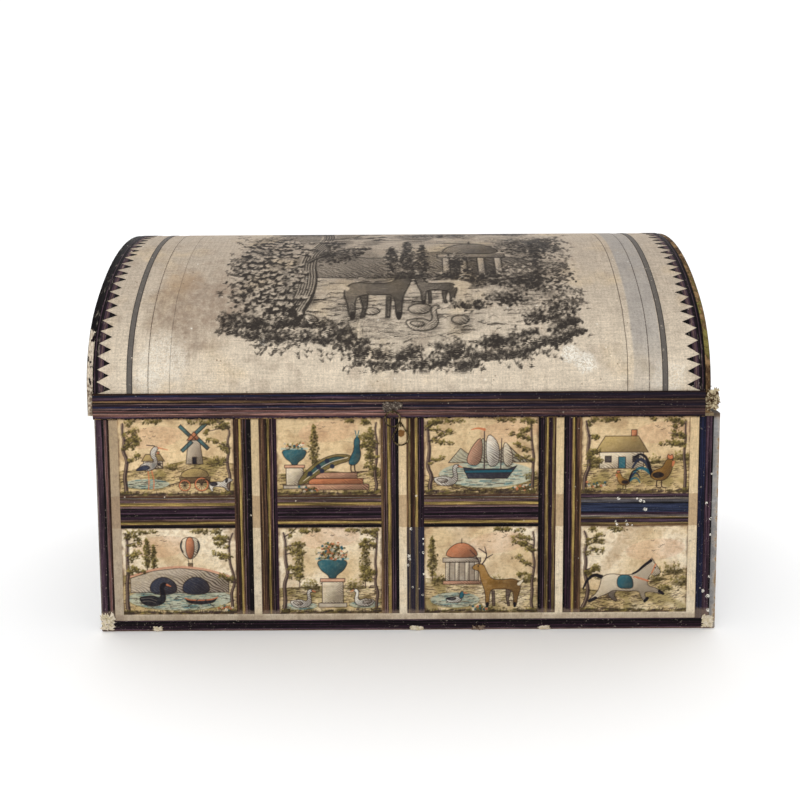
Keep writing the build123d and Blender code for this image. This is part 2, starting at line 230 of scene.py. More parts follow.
class Graph:
    """The node tree of one material. Sizes are in millimetres, places in the trunk's frame."""

    def __init__(self, name: str) -> None:
        self.material = bpy.data.materials.new(name)
        self.material.use_nodes = True
        self.tree = self.material.node_tree
        self.shader = self.tree.nodes["Principled BSDF"]
        self.place = self.vector("MULTIPLY", self.node("TexCoord").outputs["Object"], (1 / MM,) * 3)
        self.x, self.y, self.z = self.node("SeparateXYZ", self.place).outputs
        self.colour: Socket | Paint = Paint.CREAM

    def node(self, kind: str, *values: object, **settings: object) -> bpy.types.Node:
        """Adds a node with its settings and feeds its first sockets."""
        node = self.tree.nodes.new("ShaderNode" + kind)
        for setting, value in settings.items():
            setattr(node, setting, value)
        for socket, value in zip(node.inputs, values):
            self.feed(socket, value)
        return node

    def feed(self, socket: Socket, value: object) -> None:
        """Links a socket to another's value, or sets it to a constant."""
        if isinstance(value, Socket):
            self.tree.links.new(value, socket)
        else:
            socket.default_value = value.linear if isinstance(value, Paint) else value

    def vector(self, operation: str, *values: object) -> Socket:
        """Returns the outcome of a vector operation."""
        node = self.node("VectorMath", *values, operation=operation)
        return node.outputs["Value" if operation == "DISTANCE" else "Vector"]

    def math(self, operation: str, *values: object) -> Socket:
        """Returns the outcome of an operation on numbers."""
        return self.node("Math", *values, operation=operation).outputs[0]

    def times(self, value: object, by: object, more: object = None) -> Socket:
        """Returns a value multiplied, and with more added."""
        if more is None:
            return self.math("MULTIPLY", value, by)
        return self.math("MULTIPLY_ADD", value, by, more)

    def plus(self, value: object, more: object) -> Socket:
        """Returns a sum."""
        return self.math("ADD", value, more)

    def minus(self, value: object, less: object) -> Socket:
        """Returns a difference."""
        return self.math("SUBTRACT", value, less)

    def rise(self, value: Socket, low: float, high: float, start: float = 0.0, end: float = 1.0) -> Socket:
        """Returns start below low, end above high, and a smooth rise between them."""
        return self.node("MapRange", value, low, high, start, end, interpolation_type="SMOOTHSTEP").outputs[0]

    def band(self, value: Socket, low: float, high: float, soft: float) -> Socket:
        """Returns 1 between low and high and 0 outside, with edges soft wide."""
        return self.times(self.rise(value, low - soft, low + soft), self.rise(value, high + soft, high - soft))

    def noise(
        self, size: float, detail: float = 3, stretch: Triple = (1, 1, 1), seed: float = 0, rough: float = 0.55
    ) -> Socket:
        """Returns cloudy noise round 0.5.

        Args:
            size: Width of a typical spot.
            detail: Octaves of finer noise within it.
            stretch: How many times longer the spots are along each axis.
            seed: Moves the pattern, so that two noises differ.
            rough: Weight of the finer octaves.
        """
        scale = tuple(1 / (size * s) for s in stretch)
        moved = self.vector("MULTIPLY_ADD", self.place, scale, (seed * 7.31, seed * 3.17, seed * 5.77))
        node = self.node("TexNoise", moved)
        for name, value in (("Scale", 1.0), ("Detail", detail), ("Roughness", rough)):
            node.inputs[name].default_value = value
        return node.outputs[0]

    def cells(self, size: float, seed: float = 0.0) -> Socket:
        """Returns the distance to the nearest of scattered points, as a share of size."""
        shift = (seed * 5.13, seed * 2.71, seed * 9.31)
        moved = self.vector("MULTIPLY_ADD", self.place, (1 / size,) * 3, shift)
        node = self.node("TexVoronoi", moved)
        node.inputs["Scale"].default_value = 1.0
        return node.outputs["Distance"]

    def mix(self, share: object, under: object, over: object, blend: str = "MIX") -> Socket:
        """Returns one colour laid over another by a share."""
        node = self.node("Mix", data_type="RGBA", blend_type=blend)
        for index, value in ((0, share), (6, under), (7, over)):
            self.feed(node.inputs[index], value)
        return node.outputs[2]

    def cover(self, over: object, share: object) -> None:
        """Lays a paint over the colour by a share."""
        self.colour = self.mix(share, self.colour, over)

    def stain(self, over: object, where: Socket, low: float, high: float, share: float = 1.0) -> None:
        """Lays a paint over the colour, none where a value is below low, up to a share above high."""
        self.cover(over, self.rise(where, low, high, 0.0, share))

    def tone(self, where: Socket, low: float, high: float, least: float, most: float) -> None:
        """Multiplies the colour by least where a value is below low, up to most above high."""
        self.colour = self.mix(1.0, self.colour, self.rise(where, low, high, least, most), "MULTIPLY")

    def specks(self, size: float, share: float, seed: float) -> Socket:
        """Returns 1 in small scattered spots: share is the radius of a spot over its spacing."""
        distance = self.times(self.noise(size * 0.3, 2, seed=seed + 1), 0.3, self.cells(size, seed))
        chosen = self.noise(size * 3, 1, seed=seed + 2)
        return self.times(self.rise(distance, share + 0.2, share + 0.12), self.rise(chosen, 0.48, 0.56))

    def patch(self, centre: Triple, radius: float, soft: float, seed: float) -> Socket:
        """Returns 1 in a ragged round patch about a point."""
        distance = self.vector("DISTANCE", self.place, centre)
        ragged = self.times(self.noise(radius * 0.5, 4, seed=seed), radius * 1.4, distance)
        return self.rise(ragged, radius * 1.7 + soft, radius * 1.7 - soft)

    def attribute(self, name: str) -> Socket:
        """Returns a colour painted on the mesh."""
        return self.node("Attribute", attribute_name=name).outputs["Color"]

    def stripes(self, value: Socket, run: Run) -> Socket:
        """Returns the colour of printed stripes at a distance from the run's first edge."""
        total = sum(width for _, width in run)
        node = self.node("ValToRGB", self.math("DIVIDE", value, total))
        node.color_ramp.interpolation = "CONSTANT"
        elements = node.color_ramp.elements
        elements.remove(elements[1])
        edge = 0.0
        for number, (paint, width) in enumerate(run):
            element = elements[0] if number == 0 else elements.new(edge / total)
            element.position, element.color = edge / total, paint.linear
            edge += width
        return node.outputs[0]

    def end(self, rough: Socket | float, relief: Socket, height: float) -> Material:
        """Feeds the shader with the colour and returns the material.

        Args:
            rough: The surface's roughness.
            relief: A height from 0 to 1 for the bump.
            height: What a relief of 1 is worth, in millimetres.
        """
        bump = self.node("Bump")
        self.feed(bump.inputs["Height"], relief)
        bump.inputs["Strength"].default_value, bump.inputs["Distance"].default_value = 0.8, height * MM
        surface = {"Base Color": self.colour, "Roughness": rough, "Specular IOR Level": 0.12}
        for name, value in (surface | {"Normal": bump.outputs[0]}).items():
            self.feed(self.shader.inputs[name], value)
        return self.material

    def end_paper(self, rough: float = 0.72) -> Material:
        """Ends a paper: fibres, cockles and a rubbed gloss."""
        fibre = self.noise(0.5, 4, rough=0.7)
        cockle = self.noise(9.0, 3, seed=4)
        self.tone(fibre, 0.25, 0.75, 0.86, 1.1)
        self.tone(self.noise(1.7, 5, seed=6, rough=0.8), 0.28, 0.6, 0.8, 1.06)
        self.tone(cockle, 0.3, 0.7, 0.94, 1.04)
        relief = self.times(cockle, 3.0, fibre)
        return self.end(self.rise(cockle, 0.3, 0.7, rough - 0.1, rough + 0.08), relief, 0.1)


@dataclass(frozen=True)
class Finish:
    """A finish of the trunk, made into a material the first time that it is asked for."""

    name: str

    def make(self) -> Material:
        """Returns the finish's material."""
        return bpy.data.materials.get(self.name) or self.paint(Graph(self.name))


@dataclass(frozen=True)
class Pasteboard(Finish):
    """Bare laminated board, with its layers showing on cut edges."""

    layers: Triple
    light: Paint = Paint.BOARD
    dark: Paint = Paint.BOARD_DARK

    def paint(self, g: Graph) -> Material:
        """Paints the graph."""
        layer = g.noise(0.34, 3, stretch=self.layers, rough=0.65)
        pulp = g.noise(1.1, 5, seed=2, rough=0.7)
        mould = g.noise(22.0, 4, seed=5)
        g.colour = g.mix(g.rise(layer, 0.36, 0.66), self.dark, self.light)
        g.stain(self.dark, mould, 0.45, 0.72, 0.6)
        g.tone(pulp, 0.25, 0.75, 0.78, 1.18)
        relief = g.times(layer, 1.6, pulp)
        return g.end(g.rise(pulp, 0.3, 0.7, 0.8, 0.95), relief, 0.22)


@dataclass(frozen=True)
class RightCheekEdge(Finish):
    """The right cheek's board, rubbed bare at its rim, brown with an olive stain."""

    name: str = "cheek_board_right"

    def paint(self, g: Graph) -> Material:
        """Paints the graph."""
        layer = g.noise(0.4, 3, stretch=(1, 9, 9), rough=0.65)
        pulp = g.noise(1.3, 5, seed=2, rough=0.7)
        patch = g.noise(7.0, 4, seed=8)
        g.colour = g.mix(g.rise(layer, 0.36, 0.66), Paint.WALNUT, Paint.BOARD_DARK)
        g.stain(Paint.BOARD, patch, 0.44, 0.6)
        g.cover(Paint.MOSS, g.times(g.rise(patch, 0.5, 0.4), g.band(g.z, 205, 262, 9)))
        # a near-black line along the board's inner edge, at its gap to the papers: partly dirt, partly painted
        # shade
        inner = g.minus(g.x, corner("right_cheek_board")[0][0])
        g.cover(Paint.SOOT, g.band(inner, -1.0, 0.9, 0.3))
        g.tone(pulp, 0.25, 0.75, 0.7, 1.25)
        return g.end(0.9, g.plus(layer, pulp), 0.3)


@dataclass(frozen=True)
class LeftCheekEdge(Finish):
    """The left cheek's board, pale and flecked where its paper has worn off."""

    name: str = "cheek_board_left"

    def paint(self, g: Graph) -> Material:
        """Paints the graph."""
        layer = g.noise(0.4, 3, stretch=(1, 9, 9), rough=0.65)
        pulp = g.noise(1.0, 5, seed=2, rough=0.7)
        left = g.noise(3.2, 4, seed=6, stretch=(1, 2, 2))
        g.colour = g.mix(g.rise(layer, 0.3, 0.6), Paint.TEA, Paint.LINEN)
        g.stain(Paint.AUBERGINE, left, 0.55, 0.62)
        g.tone(pulp, 0.25, 0.75, 0.8, 1.15)
        return g.end(0.92, g.plus(layer, pulp), 0.3)


@dataclass(frozen=True)
class FrontGround(Finish):
    """Cream paper under the front's pictures, browned by paste across the middle."""

    name: str = "front_ground_paper"
    browned: Point = (79.0, 103.2)

    def paint(self, g: Graph) -> Material:
        """Paints the graph."""
        cloud = g.noise(18.0, 4, seed=1)
        g.colour = g.mix(g.rise(g.z, 20, 150), Paint.IVORY, Paint.CREAM)
        g.stain(Paint.CREAM, cloud, 0.35, 0.7, 0.45)
        wavering = g.times(g.noise(3.0, 3, seed=9), 1.6, g.z)
        browned = g.band(wavering, self.browned[0] + 0.8, self.browned[1] + 0.8, 0.25)
        g.cover(Paint.HONEY, g.times(browned, 0.62))
        streak = g.noise(0.7, 4, stretch=(1, 1, 14), seed=3)
        g.tone(streak, 0.3, 0.75, 0.86, 1.12)
        soiled = g.noise(4.0, 5, seed=19, rough=0.7)
        g.stain(Paint.TEA, soiled, 0.52, 0.75, 0.6)
        grime = g.times(g.rise(cloud, 0.4, 0.62), g.rise(g.z, 17, 6))
        g.cover(Paint.STONE, g.times(grime, 0.5))
        g.cover(Paint.TEA, g.times(g.specks(2.6, 0.1, 11), 0.6))
        rust = g.patch((-4.4, -145.3, 149.6), 2.8, 0.6, 8)
        g.cover(Paint.RUST, g.times(rust, 0.95))
        foot = g.times(g.noise(4.0, 4, seed=29), 5.0, g.z)
        g.stain(Paint.TEA, foot, 16.5, 13.5, 0.5)
        side = g.times(g.noise(6.0, 4, seed=31), 7.0, g.x)
        g.stain(Paint.TEA, side, -203, -209, 0.55)
        # painted shadow: the paper darkens sharply just under the lid's lip
        g.tone(g.z, 159.6, 160.9, 1.0, 0.35)
        g.tone(g.x, -80, -120, 1.0, 0.88)
        return g.end_paper()


class Across(Enum):
    """The axis that a striped paper's stripes are counted along, from its first edge."""

    LEFT_TO_RIGHT = "x"
    TOP_TO_BOTTOM = "z"


@dataclass(frozen=True)
class StripedPaper(Finish):
    """Block-printed border paper. Its chips are places and radii where the print has flaked off."""

    across: Across
    edge: float
    run: Run
    seed: float = 0.0
    rubbed: float = 0.35
    foot_fade: bool = False
    right_shade: float = 0.0
    chips: tuple[Triple, ...] = ()
    patched_below: float | None = None

    def paint(self, g: Graph) -> Material:
        """Paints the graph."""
        upright = self.across is Across.LEFT_TO_RIGHT

        def drawn(size: float, detail: float, reach: float, seed: float) -> Socket:
            """Returns noise drawn out along the stripes."""
            stretch = (1, 1, reach) if upright else (reach, 1, 1)
            return g.noise(size, detail, stretch=stretch, seed=self.seed + seed, rough=0.7)

        value = g.minus(g.x, self.edge) if upright else g.minus(self.edge, g.z)
        value = g.plus(value, g.times(drawn(2.0, 2, 9, 0), 0.9, -0.45))
        g.colour = g.stripes(value, self.run)
        g.tone(drawn(0.9, 1, 60, 2), 0.36, 0.64, 0.45, 1.6)
        g.tone(drawn(0.7, 4, 16, 1), 0.3, 0.7, 0.6, 1.42)
        if self.patched_below is not None:
            patched = g.rise(g.z, self.patched_below + 0.3, self.patched_below - 0.3, 0.0, 0.5)
            g.cover(Paint.SLATE, patched)
        if self.foot_fade:
            ragged = g.times(g.noise(2.5, 4, seed=self.seed + 3), 5.0, g.z)
            g.stain(Paint.TEA, ragged, 19.5, 16.5, 0.4)
        if self.right_shade:
            g.stain(Paint.AUBERGINE, g.x, -60, 150, self.right_shade)
        worn = g.noise(6.5, 5, seed=self.seed + 5, rough=0.7)
        fleck = g.noise(1.0, 4, stretch=(1, 1, 2) if upright else (2, 1, 1), seed=self.seed + 7, rough=0.8)
        rubbed = g.times(g.rise(worn, 0.47, 0.6), g.rise(fleck, 0.6, 0.66))
        g.cover(Paint.TAUPE, g.times(rubbed, self.rubbed))
        g.cover(Paint.LINEN, g.times(g.specks(9.0, 0.03, self.seed + 9), 0.8))
        for number, (x, z, radius) in enumerate(self.chips):
            chip = g.patch((x, -145.7, z), radius * 1.25, radius * 0.15, self.seed + number)
            crumb = g.noise(0.8, 3, seed=self.seed + number, rough=0.8)
            chip = g.times(chip, g.rise(crumb, 0.46, 0.52))
            g.cover(Paint.CHALK, chip)
        fibre = g.noise(0.6, 4, rough=0.75)
        g.tone(fibre, 0.25, 0.75, 0.72, 1.3)
        relief = g.times(worn, 2.0, fibre)
        return g.end(g.rise(worn, 0.3, 0.7, 0.6, 0.8), relief, 0.1)


@dataclass(frozen=True)
class GreyPaper(Finish):
    """Grey wrapping paper on the ends and the back, rubbed and clouded with age."""

    name: str = "grey_side_paper"

    def paint(self, g: Graph) -> Material:
        """Paints the graph."""
        cloud = g.noise(45.0, 5, seed=1, rough=0.6)
        brushed = g.noise(1.6, 4, stretch=(9, 9, 1), seed=2)
        g.colour = g.mix(g.rise(cloud, 0.3, 0.72), Paint.SMOKE, Paint.ASH)
        g.tone(brushed, 0.3, 0.75, 0.88, 1.1)
        g.stain(Paint.TEA, g.noise(14.0, 5, seed=7), 0.58, 0.75, 0.4)
        scratch = g.noise(0.5, 3, stretch=(1, 1, 22), seed=5)
        g.stain(Paint.LINEN, scratch, 0.68, 0.76, 0.5)
        g.cover(Paint.WALNUT, g.times(g.specks(4.2, 0.07, 14), 0.6))
        deep = corner("left_end_paper")[1][1]
        to_side = g.minus(g.math("ABSOLUTE", g.x), 227.5)
        to_face = g.minus(g.math("ABSOLUTE", g.y), float(deep))
        to_corner = g.math("SQRT", g.plus(g.math("POWER", to_side, 2.0), g.math("POWER", to_face, 2.0)))
        nearest = g.math("MINIMUM", to_corner, g.z)
        ragged = g.times(g.noise(7.0, 5, seed=23, rough=0.75), 12.0, nearest)
        g.stain(Paint.TAUPE, ragged, 9.5, 5.0, 0.75)
        g.stain(Paint.BOARD, ragged, 6.6, 5.6, 0.85)
        top = g.times(g.noise(6.0, 5, seed=27, rough=0.7), 9.0, g.z)
        g.stain(Paint.BRACKEN, top, 163.0, 166.5, 0.8)
        # painted shade: the end papers darken towards their top under the lid's rim, and the lid's cheek papers
        # above it take the same darker tone
        g.tone(g.z, 158.5, 163.0, 1.0, 0.6)
        return g.end_paper(0.78)


def dome_ground(g: Graph) -> None:
    """Gives a graph the dome paper's colour, darker towards the crown partly as painted shade, which the print's
    sheet shares.
    """
    cloud = g.noise(40.0, 5, seed=1)
    # paler low down and darker towards the crown: partly the paper's tone, partly painted shade where the light
    # falls off over the dome
    g.colour = g.mix(g.rise(g.z, 185, 283), Paint.DOME_LOW, Paint.DOME_HIGH)
    g.stain(Paint.CREAM, cloud, 0.5, 0.72, 0.4)
    g.stain(Paint.TEA, g.noise(13.0, 5, seed=8), 0.5, 0.7, 0.3)
    laid = g.noise(0.9, 3, stretch=(16, 1, 1), seed=2)
    g.tone(laid, 0.3, 0.75, 0.88, 1.08)
    chain = g.noise(1.6, 3, stretch=(1, 14, 14), seed=3)
    g.tone(chain, 0.3, 0.65, 0.92, 1.05)
    speck = g.noise(1.2, 5, seed=19, rough=0.85)
    g.tone(speck, 0.3, 0.66, 0.78, 1.12)
    stain = g.patch((-156.0, -119.0, 240.0), 33.0, 13.0, 3)
    mottle = g.noise(4.5, 5, seed=21, rough=0.65)
    stained = g.times(stain, g.rise(mottle, 0.3, 0.7, 0.35, 0.85))
    g.cover(Paint.TEA, stained)
    tinge = g.patch((-172.0, -100.0, 260.0), 13.0, 8.0, 5)
    g.cover(Paint.HONEY, g.times(tinge, 0.4))
    foxed = g.times(g.specks(6.5, 0.07, 17), 0.6)
    g.cover(Paint.BRACKEN, foxed)
    scuffs = (
        (-178.0, -143.5, 204.0, 17.0, 0.5), (-188.0, -144.5, 190.0, 9.0, 0.5), (-105.0, -140.5, 217.0, 3.4, 1.0),
        (119.0, -143.0, 207.0, 6.5, 1.0), (130.0, -144.2, 201.0, 7.0, 1.0), (190.0, -144.8, 190.0, 12.0, 0.5),
    )
    for number, (*centre, radius, share) in enumerate(scuffs):
        scuff = g.patch(centre, radius, radius * 0.35, number + 30)
        broken = g.rise(g.noise(1.1, 4, seed=number + 33), 0.4, 0.58, 0.0, share)
        g.cover(Paint.CHALK, g.times(scuff, broken))
    g.cover(Paint.CHALK, g.times(g.specks(9.0, 0.05, 41), 0.9))
    waver = g.times(g.noise(40.0, 2, seed=12), 2.0, g.x)
    for place, width, share in ((-170.9, 0.28, 0.45), (160.9, 0.35, 0.7), (62.0, 0.2, 0.2)):
        line = g.band(waver, place - width, place + width, 0.22)
        g.cover(Paint.WALNUT, g.times(line, share))
    toned = g.times(g.band(waver, 165.5, 186.0, 1.0), g.rise(g.z, 185, 225, 0.25, 0.6))
    g.cover(Paint.ASH, toned)


@dataclass(frozen=True)
class DomePaper(Finish):
    """Beige laid paper pasted over the dome."""

    name: str = "dome_laid_paper"

    def paint(self, g: Graph) -> Material:
        """Paints the graph."""
        dome_ground(g)
        return g.end_paper(0.74)


@dataclass(frozen=True)
class DomePrint(Finish):
    """The print's sheet: the dome paper's colour under an engraving in brown-black ink."""

    name: str = "dome_engraving"

    def paint(self, g: Graph) -> Material:
        """Paints the graph."""
        dome_ground(g)
        tone, along, _ = g.node("SeparateColor", g.attribute("ink")).outputs
        wave = g.noise(11.0, 2, seed=51)
        phase = g.times(wave, 40.0, g.times(along, 2 * math.pi * 400 / 0.95))
        line = g.times(g.math("SINE", phase), 0.5, 0.5)
        crisp = g.noise(0.7, 4, seed=52, rough=0.75)
        bite = g.times(crisp, 0.8, g.times(line, 0.4, -0.6))
        heavy = g.plus(tone, g.times(bite, g.rise(tone, 0.02, 0.35)))
        share = g.rise(heavy, 0.06, 0.78, 0.0, 0.97)
        # painted shadow: a broken dark line along the sheet's cut edges, where the sheet steps onto the dome
        # paper
        low, high = corner("dome_print")
        to_rim = g.math("MINIMUM", g.minus(g.x, float(low[0])), g.minus(float(high[0]), g.x))
        rim = g.rise(to_rim, 0.9, 0.3, 0.0, 0.85)
        g.cover(Paint.WALNUT, g.times(rim, g.rise(crisp, 0.35, 0.5)))
        g.cover(Paint.INK, share)
        return g.end_paper(0.74)


@dataclass(frozen=True)
class GreyBand(Finish):
    """A printed grey band with a darker line along each edge."""

    node: str

    def paint(self, g: Graph) -> Material:
        """Paints the graph."""
        low, high = corner(self.node)
        middle, half = (low[0] + high[0]) / 2, (high[0] - low[0]) / 2
        off = g.math("ABSOLUTE", g.minus(g.x, float(middle)))
        streak = g.noise(0.6, 4, stretch=(1, 12, 12), seed=2)
        g.colour = g.mix(g.rise(streak, 0.4, 0.75, 0.0, 0.6), Paint.BAND_GREY, Paint.STONE)
        g.stain(Paint.INK, off, half - 0.75, half - 0.35, 0.75)
        worn = g.noise(3.0, 5, seed=4, rough=0.7)
        g.stain(Paint.TAUPE, worn, 0.6, 0.7, 0.6)
        g.cover(Paint.LINEN, g.specks(4.0, 0.06, 8))
        return g.end_paper()


@dataclass(frozen=True)
class ToothPaper(Finish):
    """Dark dog-tooth paper, with a paler stripe under the teeth and darker tips."""

    edge: float
    inward: float

    def paint(self, g: Graph) -> Material:
        """Paints the graph."""
        reach = g.times(g.minus(g.x, self.edge), self.inward)
        wander = g.noise(1.5, 2, stretch=(1, 8, 8), seed=3)
        reach = g.plus(reach, g.times(wander, 0.8, -0.4))
        g.colour = g.stripes(reach, run(TOOTH))
        drag = g.noise(0.8, 4, stretch=(1, 12, 12), seed=1, rough=0.7)
        g.tone(drag, 0.3, 0.7, 0.6, 1.5)
        worn = g.times(g.rise(g.noise(6.0, 5, seed=6), 0.5, 0.66), g.rise(drag, 0.54, 0.6))
        g.cover(Paint.TAUPE, g.times(worn, 0.35))
        g.cover(Paint.LINEN, g.specks(7.0, 0.06, 5))
        fibre = g.noise(0.6, 4, rough=0.75)
        g.tone(fibre, 0.25, 0.75, 0.8, 1.2)
        return g.end(0.7, g.plus(fibre, drag), 0.1)


@dataclass(frozen=True)
class LiningPaper(Finish):
    """Plain buff lining paper, foxed and thumbed."""

    name: str = "buff_lining_paper"

    def paint(self, g: Graph) -> Material:
        """Paints the graph."""
        cloud = g.noise(38.0, 5, seed=1)
        g.colour = g.mix(g.rise(cloud, 0.3, 0.75), Paint.BUFF, Paint.LINEN)
        laid = g.noise(0.6, 3, stretch=(12, 12, 1), seed=2)
        g.tone(laid, 0.3, 0.75, 0.93, 1.03)
        bloom = g.noise(12.0, 5, seed=5)
        g.stain(Paint.FOX, bloom, 0.58, 0.8, 0.35)
        g.cover(Paint.FOX, g.times(g.specks(8.0, 0.12, 9), 0.7))
        return g.end_paper(0.8)


@dataclass(frozen=True)
class PicturePaper(Finish):
    """A hand-coloured picture: its painting, the paper's grain and a thin yellowed varnish."""

    name: str = "picture_paper"

    def paint(self, g: Graph) -> Material:
        """Paints the graph."""
        g.colour = g.attribute("ink")
        laid = g.noise(0.55, 4, stretch=(6, 1, 1), seed=2)
        g.tone(laid, 0.3, 0.75, 0.93, 1.05)
        cloud = g.noise(16.0, 4, seed=5)
        g.colour = g.mix(g.rise(cloud, 0.45, 0.75, 0.0, 0.22), g.colour, Paint.HONEY, "MULTIPLY")
        g.cover(Paint.WALNUT, g.times(g.specks(5.0, 0.05, 7), 0.5))
        return g.end_paper(0.6)


@dataclass(frozen=True)
class TarnishedWire(Finish):
    """Brass wire, browned, with the metal showing where it rubs."""

    name: str = "tarnished_brass_wire"

    def paint(self, g: Graph) -> Material:
        """Paints the graph."""
        crust = g.noise(1.4, 5, seed=1, rough=0.65)
        rubbed = g.noise(3.5, 3, seed=2)
        g.colour = g.mix(g.rise(crust, 0.44, 0.62), Paint.TARNISH, Paint.BRASS)
        g.stain(Paint.TARNISH, rubbed, 0.62, 0.4, 0.6)
        g.shader.inputs["Metallic"].default_value = 0.9
        material = g.end(g.rise(crust, 0.35, 0.65, 0.62, 0.34), crust, 0.12)
        g.shader.inputs["Specular IOR Level"].default_value = 0.5
        return material


@dataclass(frozen=True)
class TornLeather(Finish):
    """The leather patch behind the upper ring, cracked and split into pale fibres."""

    name: str = "torn_leather"

    def paint(self, g: Graph) -> Material:
        """Paints the graph."""
        crack = g.cells(1.5, 3)
        grain = g.noise(0.7, 5, seed=2, rough=0.7)
        g.colour = g.mix(g.rise(grain, 0.35, 0.65), Paint.LEATHER_DARK, Paint.LEATHER)
        split = g.noise(0.8, 4, stretch=(3, 1, 1), seed=5)
        g.stain(Paint.TAUPE, split, 0.54, 0.64, 0.6)
        relief = g.plus(crack, grain)
        return g.end(0.85, relief, 0.35)


@dataclass(frozen=True)
class LinenTape(Finish):
    """Brown linen hinge tape in plain weave."""

    name: str = "linen_tape"
    thread: float = 0.75

    def paint(self, g: Graph) -> Material:
        """Paints the graph."""
        turn = math.pi / self.thread
        warp = g.math("SINE", g.times(g.x, turn))
        weft = g.math("SINE", g.times(g.z, turn))
        weave = g.times(g.times(warp, weft), 0.5, 0.5)
        slub = g.noise(1.4, 4, stretch=(6, 1, 1), seed=2)
        soil = g.noise(20.0, 4, seed=4)
        g.colour = g.mix(g.rise(weave, 0.2, 0.8), Paint.FLAX_DARK, Paint.FLAX)
        g.tone(slub, 0.3, 0.7, 0.82, 1.14)
        g.stain(Paint.UMBER, soil, 0.5, 0.75, 0.5)
        g.shader.inputs["Sheen Weight"].default_value = 0.15
        return g.end(0.92, g.plus(weave, slub), 0.2)


@dataclass(frozen=True)
class TornPaper(Finish):
    """Torn layers and fibres, in two tones."""

    light: Paint
    dark: Paint

    def paint(self, g: Graph) -> Material:
        """Paints the graph."""
        fibre = g.noise(0.6, 5, seed=1, rough=0.75)
        patch = g.noise(1.9, 3, seed=4)
        g.colour = g.mix(g.rise(patch, 0.4, 0.62), self.light, self.dark)
        g.tone(fibre, 0.25, 0.75, 0.75, 1.15)
        return g.end(0.92, fibre, 0.25)


def smooth(share: Array) -> Array:
    """Eases a share from 0 to 1 at both ends."""
    share = np.clip(share, 0.0, 1.0)
    return share * share * (3 - 2 * share)


def rounded(points: Sequence[Point] | Array, closed: bool) -> Array:
    """Cuts the corners of a line or an outline twice, which rounds it."""
    line = np.array(points, float)
    for _ in range(2):
        before, after = (line, np.roll(line, -1, 0)) if closed else (line[:-1], line[1:])
        cut = np.stack([before * 0.75 + after * 0.25, before * 0.25 + after * 0.75], 1).reshape(-1, 2)
        line = cut if closed else np.concatenate([line[:1], cut, line[-1:]])
    return line


